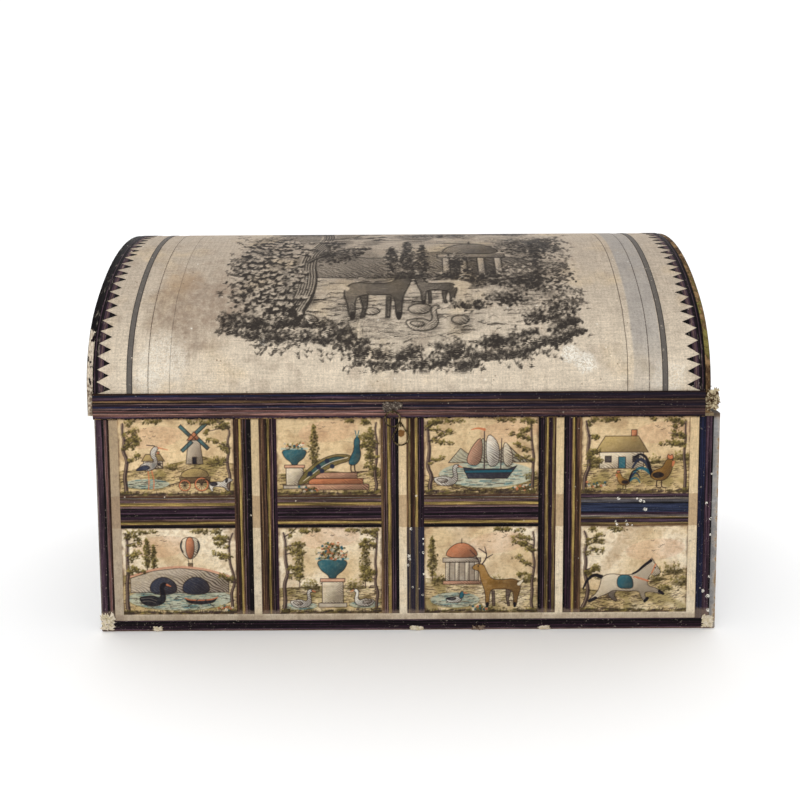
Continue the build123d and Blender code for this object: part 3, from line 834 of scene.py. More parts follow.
class Canvas:
    """A sheet that is painted cell by cell, in millimetres from its lower left corner."""

    def __init__(self, width: float, height: float, cell: float, ground: Array, seed: int) -> None:
        self.width, self.height, self.cell, self.pen = width, height, cell, cell * 1.35
        self.x = np.linspace(0, width, round(width / cell) + 1)
        self.y = np.linspace(0, height, round(height / cell) + 1)
        self.sheet = np.tile(ground.astype(float), (len(self.y), len(self.x), 1))
        self.random = np.random.default_rng(seed)
        self.grain = 0.6 * self.cloud(1.1) + 0.4 * self.cloud(3.5)

    def cloud(self, size: float) -> Array:
        """Returns smooth noise from 0 to 1 over the sheet, in spots of a size."""
        turn, cells = self.between(0.4, 1.2), 128
        table = self.random.random((cells, cells))
        x, y = self.x[None, :], self.y[:, None]
        along = (x * math.cos(turn) + y * math.sin(turn)) / size + cells
        across = (y * math.cos(turn) - x * math.sin(turn)) / size + 4 * cells
        c, r = along.astype(int), across.astype(int)
        right, down = smooth(along - c), smooth(across - r)
        corners = [[table[(r + i) % cells, (c + j) % cells] for j in (0, 1)] for i in (0, 1)]
        low = corners[0][0] * (1 - right) + corners[0][1] * right
        high = corners[1][0] * (1 - right) + corners[1][1] * right
        return low * (1 - down) + high * down

    def window(self, x_low: float, x_high: float, y_low: float, y_high: float) -> tuple[slice, slice]:
        """Returns the rows and columns that a brush between four edges can reach."""
        columns = slice(*np.searchsorted(self.x, (x_low - self.cell, x_high + self.cell)))
        rows = slice(*np.searchsorted(self.y, (y_low - self.cell, y_high + self.cell)))
        return rows, columns

    def lay(self, rows: slice, columns: slice, cover: Array, colour: Array) -> None:
        """Lays a colour over part of the sheet by its cover."""
        part = self.sheet[rows, columns]
        part += cover[..., None] * (colour - part)

    def wash(self, cover: Array, colour: Array) -> None:
        """Lays a colour over the whole sheet by its cover."""
        self.lay(slice(0, len(self.y)), slice(0, len(self.x)), cover, colour)

    def between(self, low: float, high: float, count: int | None = None) -> float | Array:
        """Returns a number, or count of them, chosen by chance between two."""
        return self.random.uniform(low, high, count)

    def stray(self, by: float, count: int | None = None) -> float | Array:
        """Returns how far something strays, or count things, by chance."""
        return self.random.normal(0, by, count)

    def dab(
        self, x: float, y: float, long: float, short: float, turn: float, colour: Array, cover: float = 0.8
    ) -> None:
        """Presses one oval touch of the brush, by its half length, half width and slant in radians."""
        rows, columns = self.window(x - long, x + long, y - long, y + long)
        right, up = self.x[columns][None, :] - x, self.y[rows][:, None] - y
        lengthwise = (right * math.cos(turn) + up * math.sin(turn)) / long
        across = (up * math.cos(turn) - right * math.sin(turn)) / short
        inside = (1 - np.hypot(lengthwise, across)) * min(long, short) / self.cell + 0.5
        self.lay(rows, columns, cover * np.clip(inside, 0, 1), colour)

    def stroke(self, points: Sequence[Point], start: float, end: float,
               colour: Array, cover: float = 0.8) -> None:
        """Draws one stroke through points, start wide at first and end wide at last."""
        line = np.array(points, float)
        wide = max(start, end)
        (x_low, y_low), (x_high, y_high) = line.min(0), line.max(0)
        rows, columns = self.window(x_low - wide, x_high + wide, y_low - wide, y_high + wide)
        right, up = self.x[columns][None, :], self.y[rows][:, None]
        cover_here = np.zeros((up.shape[0], right.shape[1]))
        last = len(line) - 1
        for number, (a, b) in enumerate(zip(line[:-1], line[1:])):
            run = b - a
            share = ((right - a[0]) * run[0] + (up - a[1]) * run[1]) / max(run @ run, 1e-9)
            share = np.clip(share, 0, 1)
            gap = np.hypot(right - a[0] - share * run[0], up - a[1] - share * run[1])
            half = (start + (end - start) * (number + share) / last) / 2
            touch = np.clip((half - gap) / self.cell + 0.5, 0, 1) * np.minimum(1, 2 * half / self.cell + 0.25)
            cover_here = np.maximum(cover_here, touch)
        self.lay(rows, columns, cover * cover_here, colour)

    def shape(self, points: Sequence[Point] | Array, colour: Array, cover: float = 0.8,
              outline: Array | None = None, hatch: float = 0.0) -> None:
        """Fills a closed outline, hatches its lower right side and draws its edge.

        Args:
            points: The outline's corners.
            colour: Colour of the fill.
            cover: How far the fill hides what is under it.
            outline: Colour of the edge and the hatching, or None for neither.
            hatch: Distance between the hatching's lines, or 0 for none.
        """
        corners = np.array(points, float)
        (x_low, y_low), (x_high, y_high) = corners.min(0), corners.max(0)
        rows, columns = self.window(x_low, x_high, y_low, y_high)
        right, up = self.x[columns][None, :], self.y[rows][:, None]
        inside = np.zeros((up.shape[0], right.shape[1]), bool)
        for a, b in zip(corners, np.roll(corners, -1, 0)):
            if a[1] == b[1]:
                continue
            crosses = (up >= min(a[1], b[1])) & (up < max(a[1], b[1]))
            inside ^= crosses & (right < a[0] + (up - a[1]) * (b[0] - a[0]) / (b[1] - a[1]))
        self.lay(rows, columns, cover * inside * (0.72 + 0.42 * self.grain[rows, columns]).clip(0, 1), colour)
        if outline is None:
            return
        if hatch:
            waver = 0.25 * np.sin(right * 0.5 + up * 0.3) + 0.2 * np.sin(up * 0.7 - right * 0.2)
            ruled = np.clip(1.5 - 5 * np.abs(((right * 0.7 + up) / hatch + waver) % 1 - 0.5), 0, 1)
            lean = (right - x_low) / (x_high - x_low) + 0.7 * (y_high - up) / (y_high - y_low)
            self.lay(rows, columns, 0.75 * inside * ruled * smooth(lean - 0.25), outline)
            self.lay(rows, columns, 0.25 * inside * smooth(lean * 1.4 - 1.0), outline)
        self.stroke([*corners, corners[0]], self.pen, self.pen, outline, 0.75)

    def vary(self, colour: Array, by: float = 0.05) -> Array:
        """Returns a colour made a little lighter or darker by chance."""
        return np.clip(colour * (1 + self.stray(by)), 0, 1)


@dataclass(frozen=True)
class Palette:
    """The colours that a drawing is made with, from dark to light where there are several."""

    leaves: tuple[Array, ...]
    bark: Array
    bark_light: Array
    earth: Array
    earth_dark: Array
    water: Array
    water_dark: Array
    line: Array
    tint: Callable[[Paint], Array]


COLOURS = Palette(
    leaves=tuple(p.srgb for p in (Paint.LEAF_DARK, Paint.LEAF_DARK, Paint.LEAF, Paint.LEAF, Paint.LEAF_LIGHT)),
    bark=Paint.BARK.srgb,
    bark_light=Paint.BARK_LIGHT.srgb,
    earth=Paint.STRAW.srgb,
    earth_dark=Paint.LEAF.srgb,
    water=Paint.SKY.srgb,
    water_dark=Paint.TEAL.srgb,
    line=Paint.OUTLINE.srgb,
    tint=lambda paint: paint.srgb,
)


def ink(depth: float) -> Array:
    """Returns a depth of ink as a canvas colour."""
    return np.array([depth, 0.0, 0.0])


INKS = Palette(
    leaves=tuple(ink(d) for d in (1.0, 0.9, 0.7, 0.4, 0.1)),
    bark=ink(0.85),
    bark_light=ink(0.4),
    earth=ink(0.42),
    earth_dark=ink(0.72),
    water=ink(0.2),
    water_dark=ink(0.55),
    line=ink(0.95),
    tint=lambda paint: ink(max(0.04, 1.1 - 1.25 * float(paint.srgb.mean()))),
)


class Picture(Canvas):
    """A canvas on which the parts of a landscape are drawn in one palette."""

    def __init__(self, *sheet: object, palette: Palette, touch: float = 0.75, depth: float = 1.0) -> None:
        super().__init__(*sheet)
        self.palette, self.touch, self.depth = palette, touch, depth

    def foliage(self, x: float, y: float, wide: float, high: float, count: int, lit: float = 0.5) -> None:
        """Dabs a clump of leaves, darker below and at the right."""
        leaves = self.palette.leaves
        for across, up, size in ((0.15, -0.2, 0.72), (-0.25, 0.15, 0.5)):
            reach = max(wide, high) * size
            low = min(wide, high) * size
            self.dab(x + wide * across, y + high * up, reach, low, 0 if wide >= high else math.pi / 2,
                     leaves[0], 0.2 * self.depth)
        for _ in range(count):
            angle, reach = self.between(0, 2 * math.pi), math.sqrt(self.random.random())
            reach *= 1.0 + 0.25 * self.random.normal()
            right, up = reach * math.cos(angle), reach * math.sin(angle)
            light = lit + 0.38 * up - 0.18 * right + self.stray(0.2)
            leaf = leaves[int(np.clip(light * len(leaves), 0, len(leaves) - 1))]
            long = self.touch * self.between(0.7, 1.35)
            px, py = x + wide * right, y + high * up
            if light < 0.62 and self.random.random() < 0.45:
                self.stroke([(px - long, py - long * 0.7), (px + long, py - long * 0.5)], 0.45 * self.touch,
                            0.2, self.palette.line, 0.7)
            self.dab(
                px, py, long, long * self.between(0.4, 0.7),
                self.between(0, math.pi), self.vary(leaf), self.between(0.55, 0.95),
            )

    def bough(self, x: float, y: float, heading: float, length: float, width: float,
              forks: int, leaf_share: float = 0.5) -> None:
        """Draws a bough, the boughs that fork from it, and leaves at their ends."""
        points = [(x, y)]
        for _ in range(4):
            heading += self.stray(0.16)
            x, y = x + length / 4 * math.cos(heading), y + length / 4 * math.sin(heading)
            points.append((x, y))
        self.stroke(points, width, width * 0.62, self.palette.bark, 0.88)
        lit = [(px - width * 0.2, py) for px, py in points]
        self.stroke(lit, width * 0.32, width * 0.12, self.palette.bark_light, 0.7)
        if width > 0.9:
            for side, share in ((0.5, 0.85), (-0.5, 0.6)):
                rim = [(px + width * side, py) for px, py in points]
                self.stroke(rim, 0.4 * self.touch, 0.25 * self.touch, self.palette.line, share)
        if forks <= 0:
            self.foliage(x, y, length * leaf_share, length * leaf_share * 0.62, int(10 + 4 * length), 0.5)
            return
        for side in (-1, 1) if self.random.random() < 0.6 else (-1, 0.1, 1):
            turn = heading + side * self.between(0.32, 0.7)
            self.bough(x, y, turn, length * self.between(0.58, 0.76), width * 0.6, forks - 1, leaf_share)
        self.foliage(x, y, length * 0.3, length * 0.2, int(5 + 1.2 * length), 0.42)

    def poplar(self, x: float, y: float, height: float) -> None:
        """Draws a narrow upright tree."""
        self.stroke([(x, y), (x, y + height * 0.3)], 0.8, 0.5, self.palette.bark)
        for share in np.linspace(0.2, 1.0, 12):
            wide = height * 0.1 * math.sin(math.pi * min(0.93, share * 0.85 + 0.08)) + 0.5
            self.foliage(x, y + height * share, wide, height * 0.07, int(8 + height * 0.35), 0.45)

    def bush(self, x: float, y: float, wide: float, high: float) -> None:
        """Draws a round bush with a shadow under it."""
        self.dab(x + wide * 0.1, y - high * 0.5, wide * 1.05, high * 0.35, 0, self.palette.leaves[0], 0.5)
        self.foliage(x, y, wide, high, int(14 + wide * high * 1.6), 0.48)

    def ground(self, line: Sequence[Point], cover: float = 0.5, hatches: int = 120, low: float = 0.0) -> None:
        """Lays rolling ground under a line, with short strokes that follow its slope."""
        at, top = np.array([p[0] for p in line]), np.array([p[1] for p in line])
        tops = np.interp(self.x, at, top)[None, :]
        up = self.y[:, None]
        inside = np.clip((tops - up) / self.cell + 0.5, 0, 1) * (up >= low)
        cloud = self.cloud(9.0)
        self.wash(inside * cover * (0.35 + 0.65 * cloud), self.palette.earth)
        self.wash(inside * cover * 0.9 * smooth((self.cloud(7.0) - 0.5) * 4), self.palette.earth_dark)
        for _ in range(hatches):
            x = self.between(0, self.width)
            height = float(np.interp(x, at, top))
            y = height - abs(self.stray(0.4)) * (height - low)
            if y < low:
                continue
            length = self.between(1.5, 6.5)
            slope = (float(np.interp(x + 2, at, top)) - height) / 2 * 0.7
            tone = self.palette.earth_dark if self.random.random() < 0.45 else self.palette.line
            points = [(x, y), (x + length / 2, y + slope * length / 2 + 0.15), (x + length, y + slope * length)]
            width = 0.6 * self.touch
            self.stroke(points, width, width * 0.5, self.vary(tone), self.between(0.3, 0.8))

    def verge(self, y: float, tall: float) -> None:
        """Darkens the foreground with rough grass and clods."""
        w = self.width
        for _ in range(int(w * 1.5)):
            x, up = self.between(0, w), abs(self.stray(0.55)) * tall
            tone = self.palette.leaves[self.random.integers(0, 3)]
            if self.random.random() < 0.35:
                tone = self.palette.bark
            self.dab(x, y + up, self.between(1.0, 3.0), self.between(0.4, 0.9), 0.1,
                     self.vary(tone, 0.12), self.between(0.35, 0.75))
        for _ in range(int(w * 0.6)):
            x = self.between(0, w)
            self.stroke([(x, y + tall * 0.4), (x + self.stray(0.6), y + tall + 1.2)], 0.4, 0.2,
                        self.palette.line, 0.7)

    def coulisse(self, side: float, width: float = 3.0) -> None:
        """Draws a gnarled old tree up one edge, with thin boughs and small tufts of leaves.

        Args:
            side: -1 for the left edge, 1 for the right one.
            width: Width of its trunk.
        """
        w, h = self.width, self.height
        foot, rise = w / 2 + side * (w / 2 - 2.5 - width * 0.5), np.linspace(0.5, h * 0.94, 9)
        sway = self.stray(1.1, 9)
        trunk = rounded([(foot + s, y) for s, y in zip(sway, rise)], False)
        self.stroke(trunk, width, width * 0.4, self.palette.bark, 0.85)
        for shift, wide, tone in ((-0.22, 0.3, self.palette.bark_light), (0.45, 0.14, self.palette.line),
                                  (-0.5, 0.12, self.palette.line), (0.15, 0.1, self.palette.line)):
            self.stroke(trunk + (width * shift * 0.8, 0), width * wide, width * wide * 0.5, tone, 0.75)
        for share in np.sort(self.between(0.4, 0.95, 6)):
            x, y = trunk[int(share * (len(trunk) - 1))]
            reach = self.between(0.35, 1.1) * (5 + 14 * share)
            climb = self.between(-0.1, 0.7) * reach
            points = rounded([(x, y), (x - side * reach * 0.35, y + climb * 0.2 + 1),
                              (x - side * reach * 0.7, y + climb * 0.9), (x - side * reach, y + climb)], False)
            self.stroke(points, width * 0.34, 0.3, self.palette.bark, 0.85)
            for px, py in points[4::3]:
                self.foliage(px + self.stray(1.0), py + self.between(-1.8, 1.8),
                             self.between(1.4, 3.2), self.between(1.2, 2.4), 14, 0.5)
        for along in self.between(0, 0.34, 5):
            self.foliage(foot - side * along * w, h - 1.5 - self.between(0, 7) * (0.4 - along),
                         self.between(2.4, 4.4), self.between(1.5, 2.4), 20, 0.5)
        self.foliage(foot, 2.4, 5, 1.8, 34, 0.35)

    def water(self, x: float, y: float, wide: float, high: float) -> None:
        """Lays a pond with level ripples."""
        self.dab(x, y, wide, high, 0, self.palette.water, 0.7)
        for _ in range(int(wide * high * 0.55) + 8):
            up = self.between(-0.85, 0.85)
            reach = wide * math.sqrt(1 - up * up)
            start = x + self.between(-reach, reach * 0.7)
            length = min(self.between(1.5, 7.0), x + reach - start)
            level = y + up * high
            tone = self.palette.water_dark if self.random.random() < 0.6 else self.palette.line
            self.stroke([(start, level), (start + length, level)], 0.45 * self.touch, 0.3, tone, 0.6)
        rim = [(x + wide * math.cos(a), y + high * math.sin(a)) for a in np.linspace(math.pi, 2 * math.pi, 22)]
        self.stroke(rim, 0.7, 0.5, self.palette.earth_dark, 0.6)

    def reeds(self, x: float, y: float, wide: float, tall: float, count: int) -> None:
        """Draws a stand of reeds."""
        for _ in range(count):
            foot = x + self.stray(wide / 2)
            lean = self.stray(0.18) * tall
            height = tall * self.between(0.55, 1.1)
            points = [(foot, y), (foot + lean * 0.3, y + height * 0.6), (foot + lean, y + height)]
            leaf = self.palette.leaves[self.random.integers(1, len(self.palette.leaves))]
            self.stroke(points, 0.45, 0.2, leaf, 0.75)

    def flowers(self, x: float, y: float, wide: float, high: float, count: int,
                blooms: Sequence[Array]) -> None:
        """Draws a clump of flowers over leaves."""
        self.foliage(x, y, wide, high, count * 3, 0.4)
        for _ in range(count):
            px, py = x + self.between(-wide, wide), y + self.between(-high, high)
            size = self.between(0.6, 1.05)
            bloom = blooms[self.random.integers(len(blooms))]
            self.dab(px, py, size, size * 0.85, 0, self.vary(bloom), 0.85)
            self.dab(px, py - 0.1, size * 0.35, size * 0.3, 0, self.palette.line, 0.6)

    def birds(self, x: float, y: float, count: int) -> None:
        """Draws birds far off."""
        for _ in range(count):
            px, py = x + self.stray(5), y + self.stray(2.4)
            wing = self.between(0.8, 1.3)
            points = [(px - wing, py + wing * 0.5), (px, py), (px + wing, py + wing * 0.55)]
            self.stroke(points, 0.3, 0.3, self.palette.line, 0.8)

    def put(self, figure: "Motif", x: float, y: float, size: float, way: int) -> None:
        """Draws a motif at a place, in a size, facing right for way 1 and left for way -1."""
        line = self.palette.line
        for part in figure:
            points = part.points * (size * way, size) + (x, y)
            first, second, colour = part.first, part.second, self.palette.tint(part.paint)
            if part.kind == "line":
                self.stroke(rounded(points, False), first * size, second * size, colour, 0.9)
            elif part.kind == "dot":
                self.dab(*points[0], first * size, first * size, 0, colour, second)
            elif part.kind == "ring":
                turns = np.linspace(0, 2 * math.pi, 13)
                rim = points[0] + second * size * np.stack([np.cos(turns), np.sin(turns)], 1)
                for end in rim[:-1]:
                    self.stroke([points[0], end], 0.5, 0.4, line, 0.7)
                self.stroke(rim, first * size, first * size, colour, 0.9)
                self.stroke(points[0] + (rim - points[0]) * 1.12, 0.35, 0.35, line, 0.8)
            else:
                shape = points if part.kind == "flat" else rounded(points, True)
                self.shape(shape, colour, first, line, second)


@dataclass(frozen=True)
class Part:
    """One filled shape, line or wheel of a motif, in millimetres from the middle of its foot.

    Attributes:
        kind: flat or fill for a shape with sharp or rounded corners, line, dot, or ring for a spoked wheel.
        paint: Its colour.
        first: Cover of a shape, width of a line's start, radius of a dot, or width of a ring.
        second: Distance between a shape's hatching lines, width of a line's end, cover of a dot,
            or radius of a ring.
        points: Its corners.
    """

    kind: str
    paint: Paint
    first: float
    second: float
    points: Array


Motif = tuple[Part, ...]


def motif(text: str) -> Motif:
    """Reads a motif, part by part: kind, paint, two sizes and then its points. A deeper line goes on."""
    parts = []
    for line in text.replace("\n ", " ").strip().splitlines():
        kind, paint, first, second, *numbers = line.split()
        points = np.array(numbers, float).reshape(-1, 2)
        parts.append(Part(kind, Paint[paint], float(first), float(second), points))
    return tuple(parts)


WINDMILL = motif("""
flat TAUPE .75 1.3 -6 0 -4 17 4 17 6 0
flat CORAL .85 1.1 -5 17 0 23 5 17
flat BLACK .9 0 -1.4 0 -1.4 5 1.4 5 1.4 0
line OUTLINE .6 .5 -9.5 10 9.5 28
line OUTLINE .6 .5 9 10 -9 28
flat TEAL .75 1 2.2 21.1 9.5 28 7.8 29.8 .5 22.8
flat TEAL .75 1 2.1 16.9 9 10 10.7 11.7 3.8 18.6
flat TEAL .75 1 -2.1 21.1 -9 28 -10.7 26.3 -3.8 19.4
flat TEAL .75 1 -2.2 16.9 -9.5 10 -7.8 8.3 -.5 15.2""")
CART = motif("""
fill STRAW .85 1.1 -11 10 -10 15 -3 18 4 17.5 10 14.5 11.5 10
flat BRACKEN .8 1.1 -11 6 -12 10.5 12 10.5 11 6
line OUTLINE .8 .6 11 7 21 4
ring CORAL 1 5 -5 5
ring CORAL .9 4.2 8 4.2""")
STEPS = motif("""
flat ROSE .85 1.6 -17 0 -17 3 17 3 17 0
flat CORAL .85 1.6 -13.5 3 -13.5 6 14 6 14 3
flat ROSE .85 1.6 -10 6 -10 9 11 9 11 6""")
URN = motif("""
flat TAUPE .9 0 -8 0 -8 2.5 8 2.5 8 0
flat IVORY .9 1.4 -6 2.5 -6 15 6 15 6 2.5
flat ROSE .85 0 -7 15 -7 17 7 17 7 15
fill TEAL .9 1.2 -2 17 -2.4 19 -7 22 -9.4 28.5 9.4 28.5 7 22 2.4 19 2 17
line SKY 1.2 1.2 -9 28.6 9 28.6""")
SHIP = motif("""
flat SLATE .9 1.3 -16 7 -13 0 11 0 17 8 12 6 -9 6
flat TEAL .9 0 -15.3 5.2 -14.6 3.4 13.4 3.6 15 5.6
line BARK .9 .6 -3 6 -3 30
line BARK .8 .5 7 6 7.6 25
fill CHALK .85 1.7 -1.8 7.5 -2 29 5 24 6.6 15 5 7.5
fill IVORY .85 1.7 8.4 7.5 8.4 24.5 14 18 14.6 8
fill ROSE .85 1.5 -4.4 8 -4 28 -12 18 -14.5 8.6
line CORAL 1.8 .4 -3 30.5 -7 31.5 -11 30.4""")
COTTAGE = motif("""
flat IVORY .9 1.8 -14 0 -14 11 14 11 14 0
flat CORAL .85 1.1 6 17 6 25 9.6 25 9.6 17
flat STRAW .92 1.1 -17 10.5 -10.5 21 10.5 21 17 10.5
flat TEAL .9 0 -2 0 -2 7.5 2.6 7.5 2.6 0
flat BLACK .8 0 -10.5 4 -10.5 8 -6.5 8 -6.5 4
flat BLACK .8 0 7 4 7 8 11 8 11 4""")
TEMPLE = motif("""
flat SLATE .35 0 -11 2.6 -11 17 11 17 11 2.6
flat ROSE .85 1.4 -14 0 -14 2.8 14 2.8 14 0
flat IVORY .9 1.2 -12 2.8 -12 17 -9 17 -9 2.8
flat IVORY .9 1.2 -5 2.8 -5 17 -2 17 -2 2.8
flat IVORY .9 1.2 2.4 2.8 2.4 17 5.4 17 5.4 2.8
flat IVORY .9 1.2 9.4 2.8 9.4 17 12.4 17 12.4 2.8
flat TAUPE .9 1.3 -14 17 -14 20.4 14 20.4 14 17
fill CORAL .85 1.2 -12 20.4 -11 26 -5 31 0 32 5 31 11 26 12 20.4
line OUTLINE .7 .5 0 31.5 0 35""")
BRIDGE = motif("""
flat TAUPE .85 2.2 -33 0 -33 10 -18 15 0 17 18 15 33 10 33 0
fill SLATE .85 1.4 -20 -1.5 -20 7 -11 12 -2 7 -2 -1.5
fill SLATE .85 1.4 2 -1.5 2 7 11 12 20 7 20 -1.5
line ROSE 1.4 1.4 -33 11.2 -18 16.2 0 18.2 18 16.2 33 11.2""")
BALLOON = motif("""
fill IVORY .9 1.6 0 9 7 7 9 0 6 -7 2 -11 -2 -11 -6 -7 -9 0 -7 7
fill CORAL .85 1.3 0 9 3 7 4 0 3 -7 1 -11 -1 -11 -3 -7 -4 0 -3 7
fill TEAL .8 0 6 6.5 8 0 5.4 -6 7 -4 9 1
fill TEAL .8 0 -6 6.5 -8 0 -5.4 -6 -7 -4 -9 1
line OUTLINE .4 .4 -2 -11 -1.4 -15
line OUTLINE .4 .4 2 -11 1.4 -15
flat BRACKEN .9 0 -1.8 -18 -2 -15 2 -15 1.8 -18""")
HORSE = motif("""
fill STONE .8 1 -7 8 -10 5 -6 1 -3.5 1.2 -6.5 5 -2 9
line BLACK 2.4 .7 -13 15 -17 16.5 -21 13 -23 8
fill IVORY .9 1.3 19 16.5 16 15 14 17 12 12 13 9.5 17 8.6 21 6 20 4.6 16.5 6 11 6.4 11 4 13 1.6 11 .6
 8.6 3.6 8 7 0 6.6 -6 7.6 -9 5.6 -14 3.6 -18.5 .6 -20 1.8 -15 6.4 -13.4 11 -13 15 -8 17 0 15.6 6 17
 10 21.4 13.6 24 14.4 26 15.6 23.6 17.5 21 19.6 18
line BLACK 1.8 .8 14 24 10 21 7 18 4 16.5
line BLACK 1.8 1.6 -16 3 -19.5 1.2
line BLACK 1.8 1.6 19 6.6 21 5.2
line BLACK 1.8 1.6 12.4 2.6 11 1
fill TEAL .92 1.2 -4 16.2 3.6 16 5 9 2 8 -4.6 8.6
line CORAL .9 .9 5 15 12.6 12.6
line CORAL .7 .7 14.6 17 16.6 22
dot BLACK .45 .9 16.4 20""")
STAG = motif("""
flat BARK .8 0 5.5 10 5 1 3.6 1 3.8 10
flat BARK .8 0 -5.5 10 -4.2 5 -5 1 -3.6 1 -2.6 6 -2.6 11
fill FOX .85 1.2 -10.5 14 -8 17.4 0 16.4 6 17 8.6 22 10 25.6 13.6 26.4 17 24 15.6 22.2 12.6 22 12 17
 10.6 13 9.2 9 9 .6 7 .6 6.6 9.6 5 11 -4 11 -7 9.4 -6.6 .6 -8.6 .6 -9.6 7 -11 11
line BARK .9 .4 11 25.6 8 30 9.6 36
line BARK .8 .4 9 29 5 31.4
line BARK .8 .4 8.6 32 13 35
line BARK .9 .4 12.4 25.8 14 30 18 34
line BARK .8 .4 13.6 29 18 30
line IVORY 2 .8 -10 14 -12 16
line BLACK 1.6 1.4 8 2.4 8 .8
line BLACK 1.6 1.4 -7.6 2.4 -7.6 .8
dot BLACK .45 .9 13.2 24.6""")
DOG = motif("""
line OUTLINE 1.3 .6 -7 8 -10.5 10.5 -13 10.4
fill CHALK .92 1.2 -8 8 -2 8.8 3 8.2 5 11 8 12 11.6 9.6 8.8 8.4 6.4 7 6 4 8.4 .8 6.4 .4 4 4 -3 4.6
 -5.6 3.4 -4.8 .6 -6.6 .4 -8.4 4.4
fill BLACK .88 0 -7.6 8 -2.4 8.6 -1 6 -4 4.8 -7.4 5.4
fill BLACK .88 0 5 11 7 11.8 7 8.6 5.2 7.4""")
ROOSTER = motif("""
line SLATE 2.4 1 -4 8 -8 16 -12 17 -15 12
line TEAL 2.2 .9 -4 8 -9 12 -13 11 -15 7
line BLACK 2 .8 -4 7 -7 18 -11 20 -14 18
fill FOX .9 1.1 -5 8 -2 11 1.6 11.6 3.6 16 6 18 8 16 7.4 12 6.6 8.6 4 5 0 4 -4 5.4
fill BLACK .85 0 -4.4 8.4 1 9.6 3.4 7 -2 5.4
fill CORAL .95 0 4.2 17.4 4.8 20 6 18.4 7.2 20 8 17 6 16.4
line CORAL 1.6 1 8 15 7.6 13
line OCHRE .9 .4 8.2 16.6 10.4 16
line OUTLINE .7 .6 1.4 4.2 1.4 .4 4 .2
line OUTLINE .7 .6 -1.2 4.2 -1.6 .4 1 .2""")
PEACOCK = motif("""
fill LEAF .85 1.2 2 7 -6 5 -16 0 -27 -8 -30 -6 -22 4 -10 11 2 11
fill TEAL .7 1.4 0 9 -8 7 -18 1 -26 -4 -18 5 -8 10
line IVORY .5 .4 0 9 -12 6 -26 -5
dot SLATE 1.5 .9 -12 7
dot SLATE 1.5 .9 -17 3.4
dot SLATE 1.5 .9 -22 -.6
dot SLATE 1.4 .9 -15 1
dot SLATE 1.4 .9 -9 3.8
fill TEAL .95 1.1 0 5 2 10 4 14 3.6 19 5.4 21.6 7.6 19.6 7 16 8 11 7 7 4 4
line TEAL .5 .5 5.4 21 4.6 25
line TEAL .5 .5 5.8 21 6.8 25
line OCHRE .9 .4 7.4 19.8 9.6 19
line OUTLINE .8 .6 4 4.4 4.2 .4 6.4 .2
line OUTLINE .8 .6 2 4.6 1.8 .4 4 .2""")
SWAN = motif("""
fill CHALK .93 1.4 -8 2 -11 7 -5 8 0 8.4 3.6 6.4 5.2 9 4.2 13 5 17 8.4 18 10 15.6 8 15 7 14 8 10 8.6 5 5 1.2 -3 .4
fill TAUPE .5 1.2 -9 6 -3 7 2 4.6 -4 2.6
line CORAL 1.2 .6 9.4 16.2 12 15
dot BLACK .45 .9 8.4 16.6""")
BLACK_SWAN = motif("""
fill BLACK .92 0 -8 2 -11 7 -5 8 0 8.4 3.6 6.4 5.2 9 4.2 13 5 17 8.4 18 10 15.6 8 15 7 14 8 10 8.6 5 5 1.2 -3 .4
line STONE .6 .4 -9 6 -3 6.6 2 4.4
line STONE .6 .4 -8 4 -3 4.6 1 3
line CORAL 1.3 .7 9.4 16.2 12 15""")
HERON = motif("""
line CORAL .7 .7 1 12.5 1.6 6 1 0
line CORAL .7 .7 3.2 12.8 4.8 6 4.2 0
fill CHALK .92 1.2 -6 14 0 18.4 4 17.4 5 19 2.6 22 3.2 26 6 28.4 8.4 27 7 25.4 5.6 23 7.6 19 6.4 14 1 11.6
fill SLATE .9 0 -8 12.4 -1 16.6 3.4 14 -3 12
line CORAL 1 .4 8 27.2 14 25.8
line BLACK .7 .4 5.6 28.4 .6 29""")
DUCK = motif("""
fill CHALK .93 1.2 -7 2.4 -5 0 3.4 0 5.4 2.8 4 4.8 -3 4.4
fill BLACK .85 0 -8 3.2 -2 1.4 1.8 3.4 -3 4.4
fill TEAL .95 0 3 3.6 3.6 7.4 5 9 7 8 6.6 5.4 5.2 3
line CORAL 1 .6 6.6 7.6 9 7""")
ROWBOAT = motif("""
fill BLACK .9 0 -11 4.4 -8 0 8 0 12 5 7 3 -7 2.8
line CORAL .8 .8 -10.4 4.2 -7 2.6 7 2.8 11.4 4.6
line BARK .6 .5 -2 3 -9 -2
line BARK .6 .5 3 3 9 -2""")
PEAKS = motif("""
flat SKY .6 2.4 -36 0 -26 12 -20 7 -8 20 3 8 12 15 22 5 34 0""")


